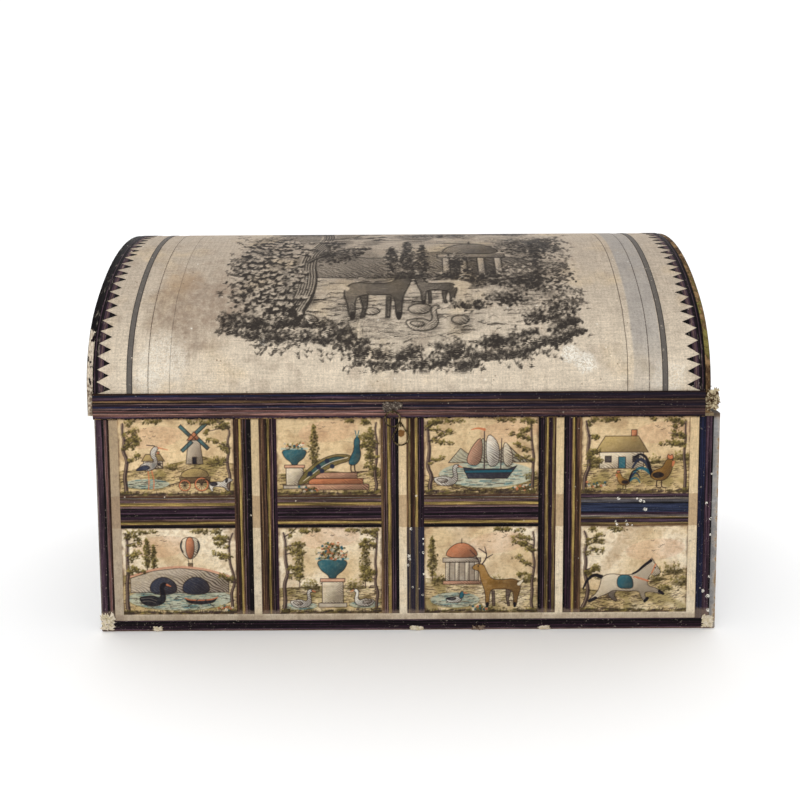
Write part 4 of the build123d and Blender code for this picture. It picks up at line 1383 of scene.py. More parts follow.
@dataclass(frozen=True)
class Landscape:
    """One of the eight small pictures, laid out by shares of its width and by millimetres upwards.

    Attributes:
        node: Name of the CAD node that carries it.
        seed: Seed of its random touches.
        hill: Line of its ground.
        far: Motifs behind the trees, each with its place, its size and the way it faces.
        near: Motifs in front.
        pools: Place, width and height of each pool.
        trees: Edges that carry a tree.
        poplars: Place and height of each poplar.
        bushes: Place and size of each bush.
        blooms: Place and width of each flower bed.
        blush: Place of a rosy cloud.
    """

    node: str
    seed: int
    hill: Sequence[Point]
    far: Sequence[tuple[Motif, float, float, float, int]] = ()
    near: Sequence[tuple[Motif, float, float, float, int]] = ()
    pools: Sequence[tuple[float, float, float, float]] = ()
    trees: Sequence[int] = (-1, 1)
    poplars: Sequence[Triple] = ()
    bushes: Sequence[Triple] = ()
    blooms: Sequence[Triple] = ()
    blush: Point = (0.5, 44.0)

    def draw(self, d: Picture) -> None:
        """Draws the whole picture from the sky to the foreground."""
        w = d.width
        d.dab(w * self.blush[0], self.blush[1], 22, 8, 0.1, Paint.ROSE.srgb, 0.22)
        d.birds(w * self.blush[0], self.blush[1] + 4, 5)
        for x, y, height in self.poplars:
            d.poplar(w * x, y, height)
        d.ground([(w * x, y) for x, y in self.hill], 0.55, 330)
        for x, y, wide, high in self.pools:
            d.water(w * x, y, w * wide, high)
        for _ in range(230):
            x = d.between(0, w)
            y = d.between(0, float(np.interp(x, [w * p[0] for p in self.hill], [p[1] for p in self.hill])))
            long = d.between(1.0, 4.5)
            points = [(x, y), (x + long / 2, y + 0.25 + d.stray(0.3)), (x + long, y + d.stray(0.3))]
            d.stroke(points, 0.42, 0.2, Paint.OUTLINE.srgb, d.between(0.5, 0.95))
        for x, y, size in self.bushes:
            d.bush(w * x, y, size, size * 0.6)
        for figure, x, y, size, way in self.far:
            d.put(figure, w * x, y, size, way)
        for side in self.trees:
            d.coulisse(side, 3.4 if side < 0 else 2.6)
        d.verge(0.6, 1.9)
        for x, y, wide in self.blooms:
            d.flowers(w * x, y, wide, 2.0, int(wide * 2), (Paint.CORAL.srgb, Paint.IVORY.srgb, Paint.TEAL.srgb))
        for figure, x, y, size, way in self.near:
            d.put(figure, w * x, y, size, way)


PICTURES = (
    Landscape(
        "upper_picture_1", 11, ((0, 19), (0.25, 21), (0.5, 25), (0.72, 30), (1, 24)),
        far=((WINDMILL, 0.66, 24, 1.05, 1), (COTTAGE, 0.3, 21, 0.5, 1)),
        near=((HERON, 0.24, 5, 1.15, 1), (CART, 0.66, 4, 0.95, -1), (DOG, 0.87, 3, 0.9, 1)),
        pools=((0.24, 9, 0.2, 4),), bushes=((0.86, 27, 5), (0.46, 22, 4)), blush=(0.3, 44),
    ),
    Landscape(
        "upper_picture_2", 12, ((0, 16), (0.4, 19), (0.7, 17), (1, 20)),
        far=((STEPS, 0.56, 4, 1.45, 1), (URN, 0.17, 5, 1.05, 1)),
        near=((PEACOCK, 0.68, 17, 1.25, 1),),
        trees=(1,), poplars=((0.36, 17, 34), (0.9, 19, 30)), bushes=((0.3, 17, 5), (0.95, 17, 6)),
        blooms=((0.17, 37, 7), (0.3, 5, 7)), blush=(0.5, 48),
    ),
    Landscape(
        "upper_picture_3", 13, ((0, 15), (0.16, 11), (0.4, 5), (0.7, 4), (1, 12)),
        far=((PEAKS, 0.6, 24, 0.9, 1), (SHIP, 0.57, 12, 1.2, 1)),
        near=((SWAN, 0.2, 6, 0.95, 1),),
        pools=((0.55, 15, 0.42, 10),), bushes=((0.95, 14, 6),), blooms=((0.86, 5, 7),), blush=(0.75, 47),
    ),
    Landscape(
        "upper_picture_4", 14, ((0, 22), (0.3, 24), (0.55, 22), (0.8, 27), (1, 30)),
        far=((COTTAGE, 0.37, 19, 1.15, 1),),
        near=((ROOSTER, 0.72, 4, 1.3, 1), (ROOSTER, 0.4, 3, 0.75, -1)),
        bushes=((0.68, 25, 5), (0.92, 28, 6), (0.14, 22, 5)), blooms=((0.14, 7, 7),), blush=(0.75, 46),
    ),
    Landscape(
        "lower_picture_1", 21, ((0, 30), (0.25, 34), (0.5, 29), (0.75, 33), (1, 29)),
        far=((BALLOON, 0.6, 52, 0.85, 1), (BRIDGE, 0.5, 17, 1.1, 1)),
        near=((BLACK_SWAN, 0.27, 6, 1.05, 1), (ROWBOAT, 0.68, 8, 1.1, 1)),
        pools=((0.5, 12, 0.46, 9),), poplars=((0.22, 33, 24), (0.28, 33, 19)), blooms=((0.9, 5, 6),),
        blush=(0.35, 52),
    ),
    Landscape(
        "lower_picture_2", 22, ((0, 20), (0.5, 22), (1, 21)),
        far=((URN, 0.52, 5, 1.3, 1),),
        near=((SWAN, 0.22, 4, 0.85, 1), (SWAN, 0.82, 5, 0.8, -1)),
        pools=((0.2, 6, 0.17, 3), (0.83, 7, 0.15, 3)), poplars=((0.2, 20, 34), (0.84, 20, 36)),
        bushes=((0.3, 22, 7), (0.74, 22, 7)), blush=(0.5, 58),
        blooms=((0.52, 43.5, 11), (0.52, 46.5, 12), (0.52, 50, 9), (0.52, 53, 5)),
    ),
    Landscape(
        "lower_picture_3", 23, ((0, 27), (0.3, 24), (0.6, 22), (1, 27)),
        far=((TEMPLE, 0.33, 22, 1.0, 1),),
        near=((STAG, 0.68, 4, 1.3, -1), (DUCK, 0.27, 8, 1.0, 1)),
        pools=((0.27, 10, 0.22, 6),), bushes=((0.12, 27, 6), (0.62, 25, 6), (0.9, 26, 6)), trees=(1,),
        poplars=((0.07, 25, 32),), blooms=((0.5, 4, 6),), blush=(0.65, 54),
    ),
    Landscape(
        "lower_picture_4", 24, ((0, 19), (0.3, 15), (0.6, 22), (0.85, 31), (1, 34)),
        near=((HORSE, 0.42, 7, 1.35, 1),),
        trees=(-1,), bushes=((0.72, 27, 6), (0.86, 33, 8), (0.95, 24, 8), (0.8, 19, 5)), blush=(0.7, 48),
    ),
)


def wobble(at: Array, size: float, seed: int) -> Array:
    """Returns smooth noise from -1 to 1 along a line, in bumps of a size."""
    knots = np.random.default_rng(seed).uniform(-1, 1, 4096)
    step = np.asarray(at, float) / size + 512
    low = np.floor(step).astype(int)
    return knots[low] + (knots[low + 1] - knots[low]) * smooth(step - low)


Place = Callable[[Array, Array, float], Array]
BACK_REGION = 0.92


@dataclass
class Sheet:
    """A closed thin sheet of paper, leather or cloth on a grid, with an optional painting on it.

    Attributes:
        name: Name of the piece.
        columns: Places of its grid's columns in millimetres.
        rows: Places of its grid's rows in millimetres.
        place: Gives the points of columns and rows at a depth, 0 on its face and 1 on its back.
        painting: Colour of each row and column, as the attribute ink.
        bent: Whether the back is gridded like the face, which a sheet that isn't straight across needs.
    """

    name: str
    columns: Array
    rows: Array
    place: Place
    painting: Array | None = None
    bent: bool = False

    def build(self) -> Thing:
        """Builds the sheet and returns it."""
        wide, high = len(self.columns) - 1, len(self.rows) - 1
        bm = bmesh.new()
        bmesh.ops.create_grid(bm, x_segments=wide, y_segments=high, size=1.0)
        face_of = {v: (round((v.co.x + 1) / 2 * wide), round((v.co.y + 1) / 2 * high)) for v in bm.verts}
        edges = [e for e in bm.edges if e.is_boundary]
        skirt = bmesh.ops.extrude_edge_only(bm, edges=edges)["geom"]
        rim = {v: None for v in skirt if isinstance(v, bmesh.types.BMVert)}
        for vert in rim:
            others = [edge.other_vert(vert) for edge in vert.link_edges]
            rim[vert] = next(face_of[other] for other in others if other in face_of)
        back = {where: vert for vert, where in rim.items()}
        skirt_faces = [f for f in bm.faces if any(v in rim for v in f.verts)]
        inner = {}
        if self.bent:
            for i in range(1, wide):
                for j in range(1, high):
                    inner[(i, j)] = back[(i, j)] = bm.verts.new()
        back_faces = []
        for j in range(high):
            if self.bent:
                spans = [[(i, j), (i, j + 1), (i + 1, j + 1), (i + 1, j)] for i in range(wide)]
            else:
                low = range(wide, -1, -1) if j == 0 else (wide, 0)
                top = range(wide + 1) if j == high - 1 else (0, wide)
                spans = [[*((i, j) for i in low), *((i, j + 1) for i in top)]]
            back_faces += [bm.faces.new([back[where] for where in span]) for span in spans]
        bm.verts.index_update()
        order = {**face_of, **rim, **{vert: where for where, vert in inner.items()}}
        grid = np.array([order[v] for v in bm.verts])
        depth = np.array([0.0 if v in face_of else 1.0 for v in bm.verts])
        u, v = self.columns[grid[:, 0]], self.rows[grid[:, 1]]
        points = np.where(depth[:, None] < 0.5, self.place(u, v, 0.0), self.place(u, v, 1.0)) * MM
        for vert, point in zip(bm.verts, points):
            vert.co = point
        self.unwrap(bm, grid, set(skirt_faces), set(back_faces), face_of)
        bmesh.ops.recalc_face_normals(bm, faces=bm.faces)
        for face in bm.faces:
            face.smooth = face not in skirt_faces
        for edge in bm.edges:
            edge.smooth = len({f in skirt_faces for f in edge.link_faces}) == 1
        mesh = bpy.data.meshes.new(self.name)
        bm.to_mesh(mesh)
        bm.free()
        if self.painting is not None:
            colours = np.ones((len(grid), 4), np.float32)
            colours[:, :3] = self.painting[grid[:, 1], grid[:, 0]]
            ink_layer = mesh.attributes.new("ink", "FLOAT_COLOR", "POINT")
            ink_layer.data.foreach_set("color", colours.ravel())
        piece = bpy.data.objects.new(self.name, mesh)
        bpy.context.collection.objects.link(piece)
        return piece

    def unwrap(self, bm: bmesh.types.BMesh, grid: Array, skirt: set, back: set, face_of: dict) -> None:
        """Lays the face out flat on the map, and its rim and back beside it."""
        layer = bm.loops.layers.uv.new("OFBake")
        high = len(self.rows) - 1
        across = (self.columns - self.columns[0]) / (self.columns[-1] - self.columns[0])
        along = (self.rows - self.rows[0]) / (self.rows[-1] - self.rows[0])
        for face in bm.faces:
            spots = [grid[loop.vert.index] for loop in face.loops]
            if face in skirt:
                sides = (
                    all(s[1] == 0 for s in spots), all(s[1] == high for s in spots),
                    all(s[0] == 0 for s in spots), True,
                )
                side = sides.index(True)
                for loop, (i, j) in zip(face.loops, spots):
                    run = across[i] if side < 2 else along[j]
                    deep = 0.0 if loop.vert in face_of else 0.008
                    loop[layer].uv = (run, BACK_REGION + 0.01 * side + deep)
            elif face in back:
                for loop, (i, j) in zip(face.loops, spots):
                    loop[layer].uv = (across[i], 0.965 + 0.03 * along[j])
            else:
                for loop, (i, j) in zip(face.loops, spots):
                    loop[layer].uv = (across[i], 0.9 * along[j])


def dress(piece: Thing, material: Material) -> None:
    """Gives a piece one finish."""
    if not piece.material_slots:
        piece.data.materials.append(material)
    for held in piece.material_slots:
        held.material = material


def dress_nodes(material: Material, *nodes: str) -> None:
    """Gives CAD nodes a finish and reports them."""
    for node in nodes:
        dress(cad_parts[node], material)
        LOG.info("%s keeps its shape in %s", node, material.name)


def place_piece(piece: Thing, material: Material, body: str, slot: str, *nodes: str) -> Thing:
    """Dresses a new piece, sets it on its body and reports it.

    Args:
        piece: The piece.
        material: Its finish.
        body: The body that it rides on.
        slot: Not used.
        nodes: The CAD nodes that it stands for.

    Returns:
        The piece.
    """
    dress(piece, material)
    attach(piece, body)
    if nodes:
        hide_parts(*nodes)
    LOG.info("%s on %s in %s", piece.name, body, material.name)
    return piece


def tube(name: str, points: Array, radius: float, closed: bool) -> Thing:
    """Draws a wire of round section through points in millimetres.

    Args:
        name: Name of the piece.
        points: The wire's middle line.
        radius: Its radius in millimetres.
        closed: Whether it comes back to its start.

    Returns:
        The wire as a mesh.
    """
    curve = bpy.data.curves.new(name, "CURVE")
    curve.dimensions = "3D"
    curve.bevel_depth = radius * MM
    curve.bevel_resolution = 3
    curve.use_fill_caps = not closed
    spline = curve.splines.new("POLY")
    spline.points.add(len(points) - 1)
    spline.points.foreach_set("co", np.c_[points * MM, np.ones(len(points))].ravel())
    spline.use_cyclic_u = closed
    drawn = bpy.data.objects.new(name, curve)
    bpy.context.collection.objects.link(drawn)
    bpy.context.view_layer.update()
    mesh = bpy.data.meshes.new_from_object(drawn.evaluated_get(bpy.context.evaluated_depsgraph_get()))
    bpy.data.objects.remove(drawn)
    mesh.name = name
    bm = bmesh.new()
    bm.from_mesh(mesh)
    bmesh.ops.remove_doubles(bm, verts=bm.verts, dist=0.01 * MM)
    bmesh.ops.recalc_face_normals(bm, faces=bm.faces)
    for face in bm.faces:
        face.smooth = len(face.verts) == 4
    bm.to_mesh(mesh)
    bm.free()
    piece = bpy.data.objects.new(name, mesh)
    bpy.context.collection.objects.link(piece)
    return piece


def spots(text: str) -> tuple[Triple, ...]:
    """Reads spots where a print has flaked off, written as a place, a height and a radius in turn."""
    numbers = [float(word) for word in text.split()]
    return tuple(zip(numbers[::3], numbers[1::3], numbers[2::3]))


MIDDLE = """UMBER 1.4 STONE .7 BRACKEN .8 MULBERRY 2.2 OLIVE .6 OCHRE 1.5 BRACKEN .8 MULBERRY 1.4 SOOT .8 PLUM 2.2
DAMSON .8 PLUM .7 SOOT 1.5 DAMSON .7 PLUM 1.5 MULBERRY .8 UMBER .7 BRACKEN .7 OCHRE 1.5 UMBER .8 SOOT 1.6"""
BORDERS = {
    "column_strip_1_left": (0, """UMBER 3.4 WALNUT .5 OCHRE 1.5 BRACKEN .7 WALNUT .7 MULBERRY .7 SOOT .7 WALNUT .7
DAMSON .7 SOOT 3.3"""),
    "column_strip_1_right": (1, """UMBER 1.4 BRACKEN .8 UMBER 2.9 SOOT .7 OCHRE 1.6 UMBER 1.2 PLUM .7 MULBERRY .7
SOOT 1.0 PLUM 1.9"""),
    "column_strip_2_left": (2, """BRACKEN 1.4 UMBER .7 MULBERRY .7 WALNUT .7 MULBERRY .8 SOOT .6 OCHRE 2.0
BRACKEN .7 PLUM .7 DAMSON .7 SOOT .8 DAMSON .7 SOOT 2.4"""),
    "column_strip_2_right": (3, """BRACKEN .7 UMBER .7 OLIVE 1.5 WALNUT 2.9 BRACKEN .7 OCHRE 1.5 BRACKEN .7
SOOT .7 DAMSON .7 SOOT .8 PLUM 2.0"""),
    "column_strip_3_left": (4, """SOOT 1.8 PLUM .6 SOOT .8 DAMSON .7 SOOT .7 BRACKEN .8 OLIVE .7 OCHRE .9 UMBER .7
SOOT .7 PLUM 1.8 OLIVE 1.5 UMBER 1.2"""),
    "column_strip_3_right": (5, """SOOT 1.5 PLUM 1.4 SOOT .7 DAMSON .8 PLUM 1.4 BRACKEN .8 OCHRE 1.5 WALNUT .8
UMBER 2.6 BRACKEN 1.4"""),
    "middle_strip_1": (11, MIDDLE),
    "middle_strip_2": (12, MIDDLE),
    "middle_strip_3": (13, MIDDLE),
    "middle_strip_4": (14, """DAMSON 2.2 SOOT .7 STONE 1.4 PEWTER 2.2 SOOT .8 SLATE 6.5 PLUM .8 DAMSON 1.5
STONE 1.5 OLIVE .8 WALNUT .8 DAMSON 2.5 OLIVE 1.2 BRACKEN 1.5"""),
    "left_edge_strip": (20, "STONE .9 DAMSON 4.0 SOOT 1.6 MULBERRY .7 MADDER .9 MULBERRY .7 WALNUT 1.3"),
    "right_edge_strip": (21, "PLUM .4 NAVY 4.4 PLUM .8 DAMSON 1.5 PLUM .7 DAMSON 1.6 SOOT 1.1"),
    "bottom_strip": (30, "DAMSON .7 SOOT 1.6 PLUM .8 SOOT 1.0 PLUM 1.6 SOOT .6 DAMSON .8 MULBERRY .6"),
}
TOOTH = "SOOT 1.1 DAMSON .7 SOOT 1.2 AUBERGINE 1.2 DAMSON 1.3 MULBERRY 1.2 DAMSON 1.1 SOOT 6"
# the lip's stripes from its top edge down; the last SOOT stripe, at the frayed foot, is painted shadow under the
# lip
LIP = """WALNUT .8 NAVY 1.6 DAMSON 1.4 PLUM 1.2 BRACKEN 1.3 SOOT .8 MULBERRY .9 PLUM 1.1 NAVY 1.2 MULBERRY 1.2
SOOT .7 MADDER 1.2 MULBERRY 1.2 SALMON .7 MADDER 1.3 DAMSON 1.2 SOOT .9"""
FLAKES = {
    "column_strip_2_right": spots("""2.6 77.6 .9 .6 57 1 1.3 54.5 .7 -.2 50 .8 11.4 70 .6 11.8 66 .7 11.4 59.5 .8
11.6 43 .6 3.4 33 .6 10.6 27 .6"""),
    "middle_strip_4": spots("""154.7 99.9 1 168.4 99.6 .6 170.9 98.1 1 173.4 97.4 .7 174.4 91.4 1.1 152.8 82.6 .6
153.8 80.4 .8 160.6 82.8 .6 161.4 80.2 .8 165 79.8 .5"""),
    "right_edge_strip": spots("""219.4 96 .7 222.8 84 .9 223 72 .8 218.4 29 .9 222 25 1.2 222.7 14 1.2 223 118 .7
222.9 40 .8"""),
}


@dataclass(frozen=True)
class Body:
    """The open box: its boards, linings, papers and the pictures and borders on its front."""

    name: str = "box"
    picture_cell: float = 0.4

    def build(self) -> None:
        """Builds and dresses the box."""
        self.dress_boards()
        self.dress_borders()
        for scape in PICTURES:
            self.build_picture(scape)
        self.build_wear()

    def dress_boards(self) -> None:
        """Dresses the boards, the linings and the plain papers."""
        dress_nodes(Pasteboard("long_board", (9, 1, 9)).make(), "front_board", "back_board")
        dress_nodes(Pasteboard("base_board", (9, 9, 1)).make(), "base_board")
        linings = ("base_lining", "front_lining", "back_lining", "left_lining", "right_lining")
        dress_nodes(LiningPaper().make(), *linings)
        ends = ("left_end_board", "right_end_board", "left_end_paper", "right_end_paper")
        dress_nodes(GreyPaper().make(), *ends, "back_paper")
        dress_nodes(FrontGround().make(), "front_paper")

    def dress_borders(self) -> None:
        """Dresses the striped borders that frame the pictures."""
        for node, (seed, stripes) in BORDERS.items():
            low, high = corner(node)
            upright, outer = "column" in node or "edge" in node, "edge" in node or "bottom" in node
            paper = StripedPaper(
                node + "_paper",
                Across.LEFT_TO_RIGHT if upright else Across.TOP_TO_BOTTOM,
                float(low[0] if upright else high[2]),
                run(stripes),
                seed=seed,
                rubbed=0.7 if outer else 0.35,
                foot_fade=upright,
                chips=FLAKES.get(node, ()),
                patched_below=79.0 if node == "column_strip_2_right" else None,
            )
            dress_nodes(paper.make(), node)

    def build_picture(self, scape: Landscape) -> None:
        """Paints one picture and pastes it on the front."""
        low, high = corner(scape.node)
        wide, _, tall = high - low
        picture = Picture(wide, tall, self.picture_cell, Paint.CREAM.srgb, scape.seed, palette=COLOURS)
        self.paint_sky(picture, low[2] > 100)
        scape.draw(picture)
        self.soil_rim(picture)

        def place(u: Array, v: Array, depth: float) -> Array:
            """Lays the picture flat on the front."""
            return np.c_[low[0] + u, np.full_like(u, low[1] if depth < 0.5 else high[1]), low[2] + v]

        sheet = Sheet(scape.node + "_scene", picture.x, picture.y, place, linear(np.clip(picture.sheet, 0, 1)))
        place_piece(sheet.build(), PicturePaper().make(), self.name, "picture", scape.node)

    def paint_sky(self, picture: Picture, warm: bool) -> None:
        """Washes the paper: paler low down, browned in clouds, with thin level lines for the sky."""
        light = (Paint.CREAM if warm else Paint.IVORY).srgb
        picture.wash(smooth(picture.cloud(19.0) * 1.3 - 0.1), light * 1.04)
        for most, size, bare in ((0.35, 11.0, 0.6), (0.25, 2.2, 0.55)):
            picture.wash(most * smooth((picture.cloud(size) - bare) * 4), Paint.HONEY.srgb)
        for _ in range(46):
            x, y = picture.between(0, picture.width * 0.9), picture.height * (1 - abs(picture.stray(0.22)))
            picture.stroke([(x, y), (x + picture.between(3, 11), y)], 0.3, 0.2, Paint.OUTLINE.srgb, 0.16)

    def soil_rim(self, picture: Picture) -> None:
        """Darkens the picture's rim, where paste and dirt have gathered."""
        x, y = picture.x[None, :], picture.y[:, None]
        inset = np.minimum(np.minimum(x, picture.width - x), np.minimum(y, picture.height - y))
        picture.wash(smooth(1 - (inset + 1.6 * picture.cloud(3.0)) / 2.6) * 0.65, Paint.UMBER.srgb)

    def build_wear(self) -> None:
        """Adds the crumpled, frayed and lifted paper along the foot."""
        pale = TornPaper("torn_pale_paper", Paint.LINEN, Paint.BUFF).make()
        brown = TornPaper("torn_brown_paper", Paint.TEA, Paint.UMBER).make()
        scraps = (
            ("crumple_front_left", -228.0, 0.4, 9.5, 13.0, 1.6, 3, pale),
            ("fray_front_right", 218.6, 0.5, 7.6, 9.5, 1.3, 4, pale),
            ("fleck_1", -189.5, 0.2, 6.5, 3.6, 1.5, 5, pale),
            ("fleck_2", 1.5, 0.2, 9.5, 3.0, 2.0, 6, pale),
            ("fleck_3", 48.0, 0.1, 8.5, 3.2, 2.2, 7, brown),
            ("fleck_4", 97.0, 0.2, 8.0, 2.6, 1.8, 8, pale),
        )
        for name, x, z, wide, tall, lift, seed, material in scraps:
            piece = scrap(name, (x, -145.6, z), wide, tall, lift, seed)
            place_piece(piece, material, self.name, "front_ground")


def scrap(name: str, low: Triple, wide: float, tall: float, lift: float, seed: int) -> Thing:
    """Builds a ragged scrap of paper that lifts off a front face.

    Args:
        name: Name of the piece.
        low: Its lower left corner on the face.
        wide: Its width.
        tall: Its height.
        lift: How far it stands off at most.
        seed: Seed of its shape.

    Returns:
        The piece.
    """
    columns, rows = np.linspace(0, 1, 30), np.linspace(0, 1, 24)

    def place(u: Array, v: Array, depth: float) -> Array:
        """Crumples the scrap and tears its outline."""
        left, right = 0.16 * wobble(v, 0.09, seed), 0.16 * wobble(v, 0.07, seed + 1)
        bottom, top = 0.1 * (1 + wobble(u, 0.1, seed + 2)), 0.22 * wobble(u, 0.08, seed + 3)
        x = low[0] + wide * (u + left * (1 - u) + right * u)
        z = low[2] + tall * (v + bottom * (1 - v) + top * v)
        fold = 0.5 + 0.5 * wobble(u * 1.3 + v * 0.8, 0.16, seed + 4) * wobble(v * 1.6 - u, 0.2, seed + 5)
        edge = np.sin(np.pi * np.clip(u, 0, 1)) ** 0.4 * (1 - v) ** 0.5
        return np.c_[x, low[1] - 0.05 - lift * fold * (0.35 + 0.65 * edge) + 0.28 * depth, z]

    return Sheet(name, columns, rows, place, bent=True).build()


@dataclass(frozen=True)
class Lid:
    """The barrel lid: dome, cheeks, lip, print, bands and dog-tooth papers."""

    name: str = "lid"
    print_low: Point = (-142.0, 15.0)
    print_size: Point = (276.0, 196.0)
    print_cell: float = 0.8
    coarse: float = 6.0
    teeth: int = 43
    torn_from: float = 44.0
    torn_corner: tuple[tuple[float, float, float, float, float, int], ...] = (
        (1.0, 2.0, 9.4, 9.0, 2.2, 81), (2.6, 9.0, 7.4, 9.0, 2.8, 84),
    )

    def build(self) -> None:
        """Builds and dresses the lid."""
        self.dress_boards()
        self.build_print()
        self.build_teeth("left_dog_tooth_paper", "left_tooth_strip", 1.0, 5)
        self.build_teeth("right_dog_tooth_paper", "right_tooth_strip", -1.0, 6)
        self.build_lip()
        self.build_wear()

    def dress_boards(self) -> None:
        """Dresses the boards, the linings, the plain papers and the grey bands."""
        dress_nodes(Pasteboard("dome_pasteboard", (9, 9, 1)).make(), "dome_board")
        dress_nodes(Pasteboard("lip_pasteboard", (9, 1, 9)).make(), "front_lip_board")
        dress_nodes(LeftCheekEdge().make(), "left_cheek_board")
        dress_nodes(RightCheekEdge().make(), "right_cheek_board")
        dress_nodes(GreyPaper().make(), "left_cheek_paper", "right_cheek_paper")
        dress_nodes(LiningPaper().make(), "dome_lining", "left_cheek_lining", "right_cheek_lining")
        dress_nodes(DomePaper().make(), "dome_paper")
        for node in ("left_grey_band", "right_grey_band"):
            dress_nodes(GreyBand(node + "_print", node).make(), node)

    def build_print(self) -> None:
        """Engraves the print and pastes it over the dome."""
        low, high = corner("dome_print")
        (left, foot), (wide, tall) = self.print_low, self.print_size
        print_ = Picture(wide, tall, self.print_cell, ink(0.0), 77, palette=INKS, touch=1.2, depth=0.8)
        engrave(print_)
        before = np.arange(low[0], left - 1, self.coarse)
        after = np.append(np.arange(left + wide + self.coarse, high[0] - 1, self.coarse), high[0])
        columns = np.concatenate([before, left + print_.x, after])
        below = np.arange(0, foot - 1, 3.0)
        rows = np.concatenate([below, foot + print_.y, np.linspace(foot + tall, ARCH.length(), 56)[1:]])
        painting = np.zeros((len(rows), len(columns), 3))
        painting[len(below) :, len(before) :][: len(print_.y), : len(print_.x)] = print_.sheet
        painting[..., 1] = (rows / 400)[:, None]

        def place(u: Array, v: Array, depth: float) -> Array:
            """Bends the sheet over the dome."""
            return np.c_[u, *ARCH.place(v, 0.5 - 0.2 * depth)]

        sheet = Sheet("dome_engraved_sheet", columns, rows, place, np.clip(painting, 0, 1))
        place_piece(sheet.build(), DomePrint().make(), self.name, "dome_print", "dome_print")

    def build_teeth(self, name: str, node: str, inward: float, seed: int) -> None:
        """Cuts a strip of dog-tooth paper by hand and bends it over the dome.

        Args:
            name: Name of the piece.
            node: The CAD strip that it stands for.
            inward: 1 where the teeth point to +X, -1 where they point to -X.
            seed: Seed of the cutting.
        """
        low, high = corner(node)
        edge, reach = (low[0] if inward > 0 else high[0]), high[0] - low[0]
        random = np.random.default_rng(seed)
        pitch = ARCH.length() / self.teeth
        valleys = np.arange(self.teeth + 1) * pitch
        valleys[1:-1] += random.normal(0, 0.45, self.teeth - 1)
        tips = (valleys[:-1] + valleys[1:]) / 2 + random.normal(0, 0.5, self.teeth)
        tip_reach = np.clip(reach - 0.3 + random.normal(0, 0.7, self.teeth), 10.5, reach + 0.6)
        valley_reach = np.clip(random.normal(2.7, 0.6, self.teeth + 1), 1.7, 3.9)
        marks = np.empty(2 * self.teeth + 1)
        marks[::2], marks[1::2] = valleys, tips
        reaches = np.empty_like(marks)
        reaches[::2], reaches[1::2] = valley_reach, tip_reach
        steps = np.linspace(0, 1, 8)
        rows = np.unique(np.concatenate([a + (b - a) * steps for a, b in zip(marks[:-1], marks[1:])]))
        outer = -4.35 if inward > 0 else 0.0

        def place(u: Array, v: Array, depth: float) -> Array:
            """Fits the columns between the outer edge and the cut teeth."""
            cut = np.interp(v, marks, reaches) + 0.12 * wobble(v, 0.7, seed)
            ragged = v - self.torn_from + 2.5 * wobble(v, 2.0, seed + 2)
            torn = smooth(ragged / 3.0) * smooth(ARCH.length() - v)
            over = outer * torn * (1 + 0.02 * wobble(v, 1.5, seed + 1))
            across = np.where(u < 0, over * -u, cut * u)
            lift = np.where(across < -0.02, 0.32, 0.6)
            y, z = ARCH.place(v, lift - 0.3 * depth)
            return np.c_[edge + inward * across, y, z]

        columns = np.concatenate([[-1.0, -0.5, -0.02] if outer else [], np.linspace(0, 1, 9)])
        material = ToothPaper(name, float(edge), inward).make()
        place_piece(Sheet(name, columns, rows, place).build(), material, self.name, "stripe_paper", node)

    def build_lip(self) -> None:
        """Builds the striped paper on the lip, frayed along its lower edge."""
        low, high = corner("lip_strip")
        face, foot, top, rear = low[1], low[2], high[2], high[1]
        skin = 0.3
        columns = np.linspace(low[0], high[0], round((high[0] - low[0]) / 0.5))
        rise = top - foot
        over = rise + np.linspace(0.3, rear - face, 5)
        rows = np.concatenate([np.linspace(0, 2.4, 9), np.linspace(3.0, rise, 16), over])

        def place(u: Array, v: Array, depth: float) -> Array:
            """Folds the paper over the lip's upper edge and frays its foot."""
            fray = 0.55 * wobble(u, 0.9, 41) + 0.45 * wobble(u, 5.0, 42) + 0.5
            z = foot + np.minimum(v, rise) + np.clip(1 - v / 2.4, 0, 1) * fray
            y = face + np.maximum(v - rise, 0)
            curl = np.clip(1 - v / 2.4, 0, 1) ** 2 * 0.35 * (1 + wobble(u, 3.0, 43))
            if depth > 0.5:
                z, y = np.minimum(z, top - skin), np.maximum(y, face + skin)
            return np.c_[u, y - curl, z]

        place_of = (Across.TOP_TO_BOTTOM, float(top))
        stripes = StripedPaper("lip_striped_paper", *place_of, run(LIP), seed=50, rubbed=0.6, right_shade=0.7)
        sheet = Sheet("lip_frayed_paper", columns, rows, place)
        place_piece(sheet.build(), stripes.make(), self.name, "stripe_paper", "lip_strip")

    def build_wear(self) -> None:
        """Adds the torn board at the lid's left corner and the fibres at its right one."""
        pale = TornPaper("split_board", Paint.LINEN, Paint.TEA).make()
        left, _ = corner("left_cheek_board")
        layers = ((0.0, 21.0, 3.6, 61), (1.1, 16.0, 3.0, 62), (2.0, 11.5, 2.6, 63))
        for number, (step, tall, wide, seed) in enumerate(layers, 1):
            foot = (left[0] + 0.2 + 0.3 * step, left[1] - 0.1 - step * 0.5, left[2] + 0.6)
            piece = scrap(f"left_split_layer_{number}", foot, wide, tall, 0.8, seed)
            place_piece(piece, pale, self.name, "board")
        self.build_tuft()

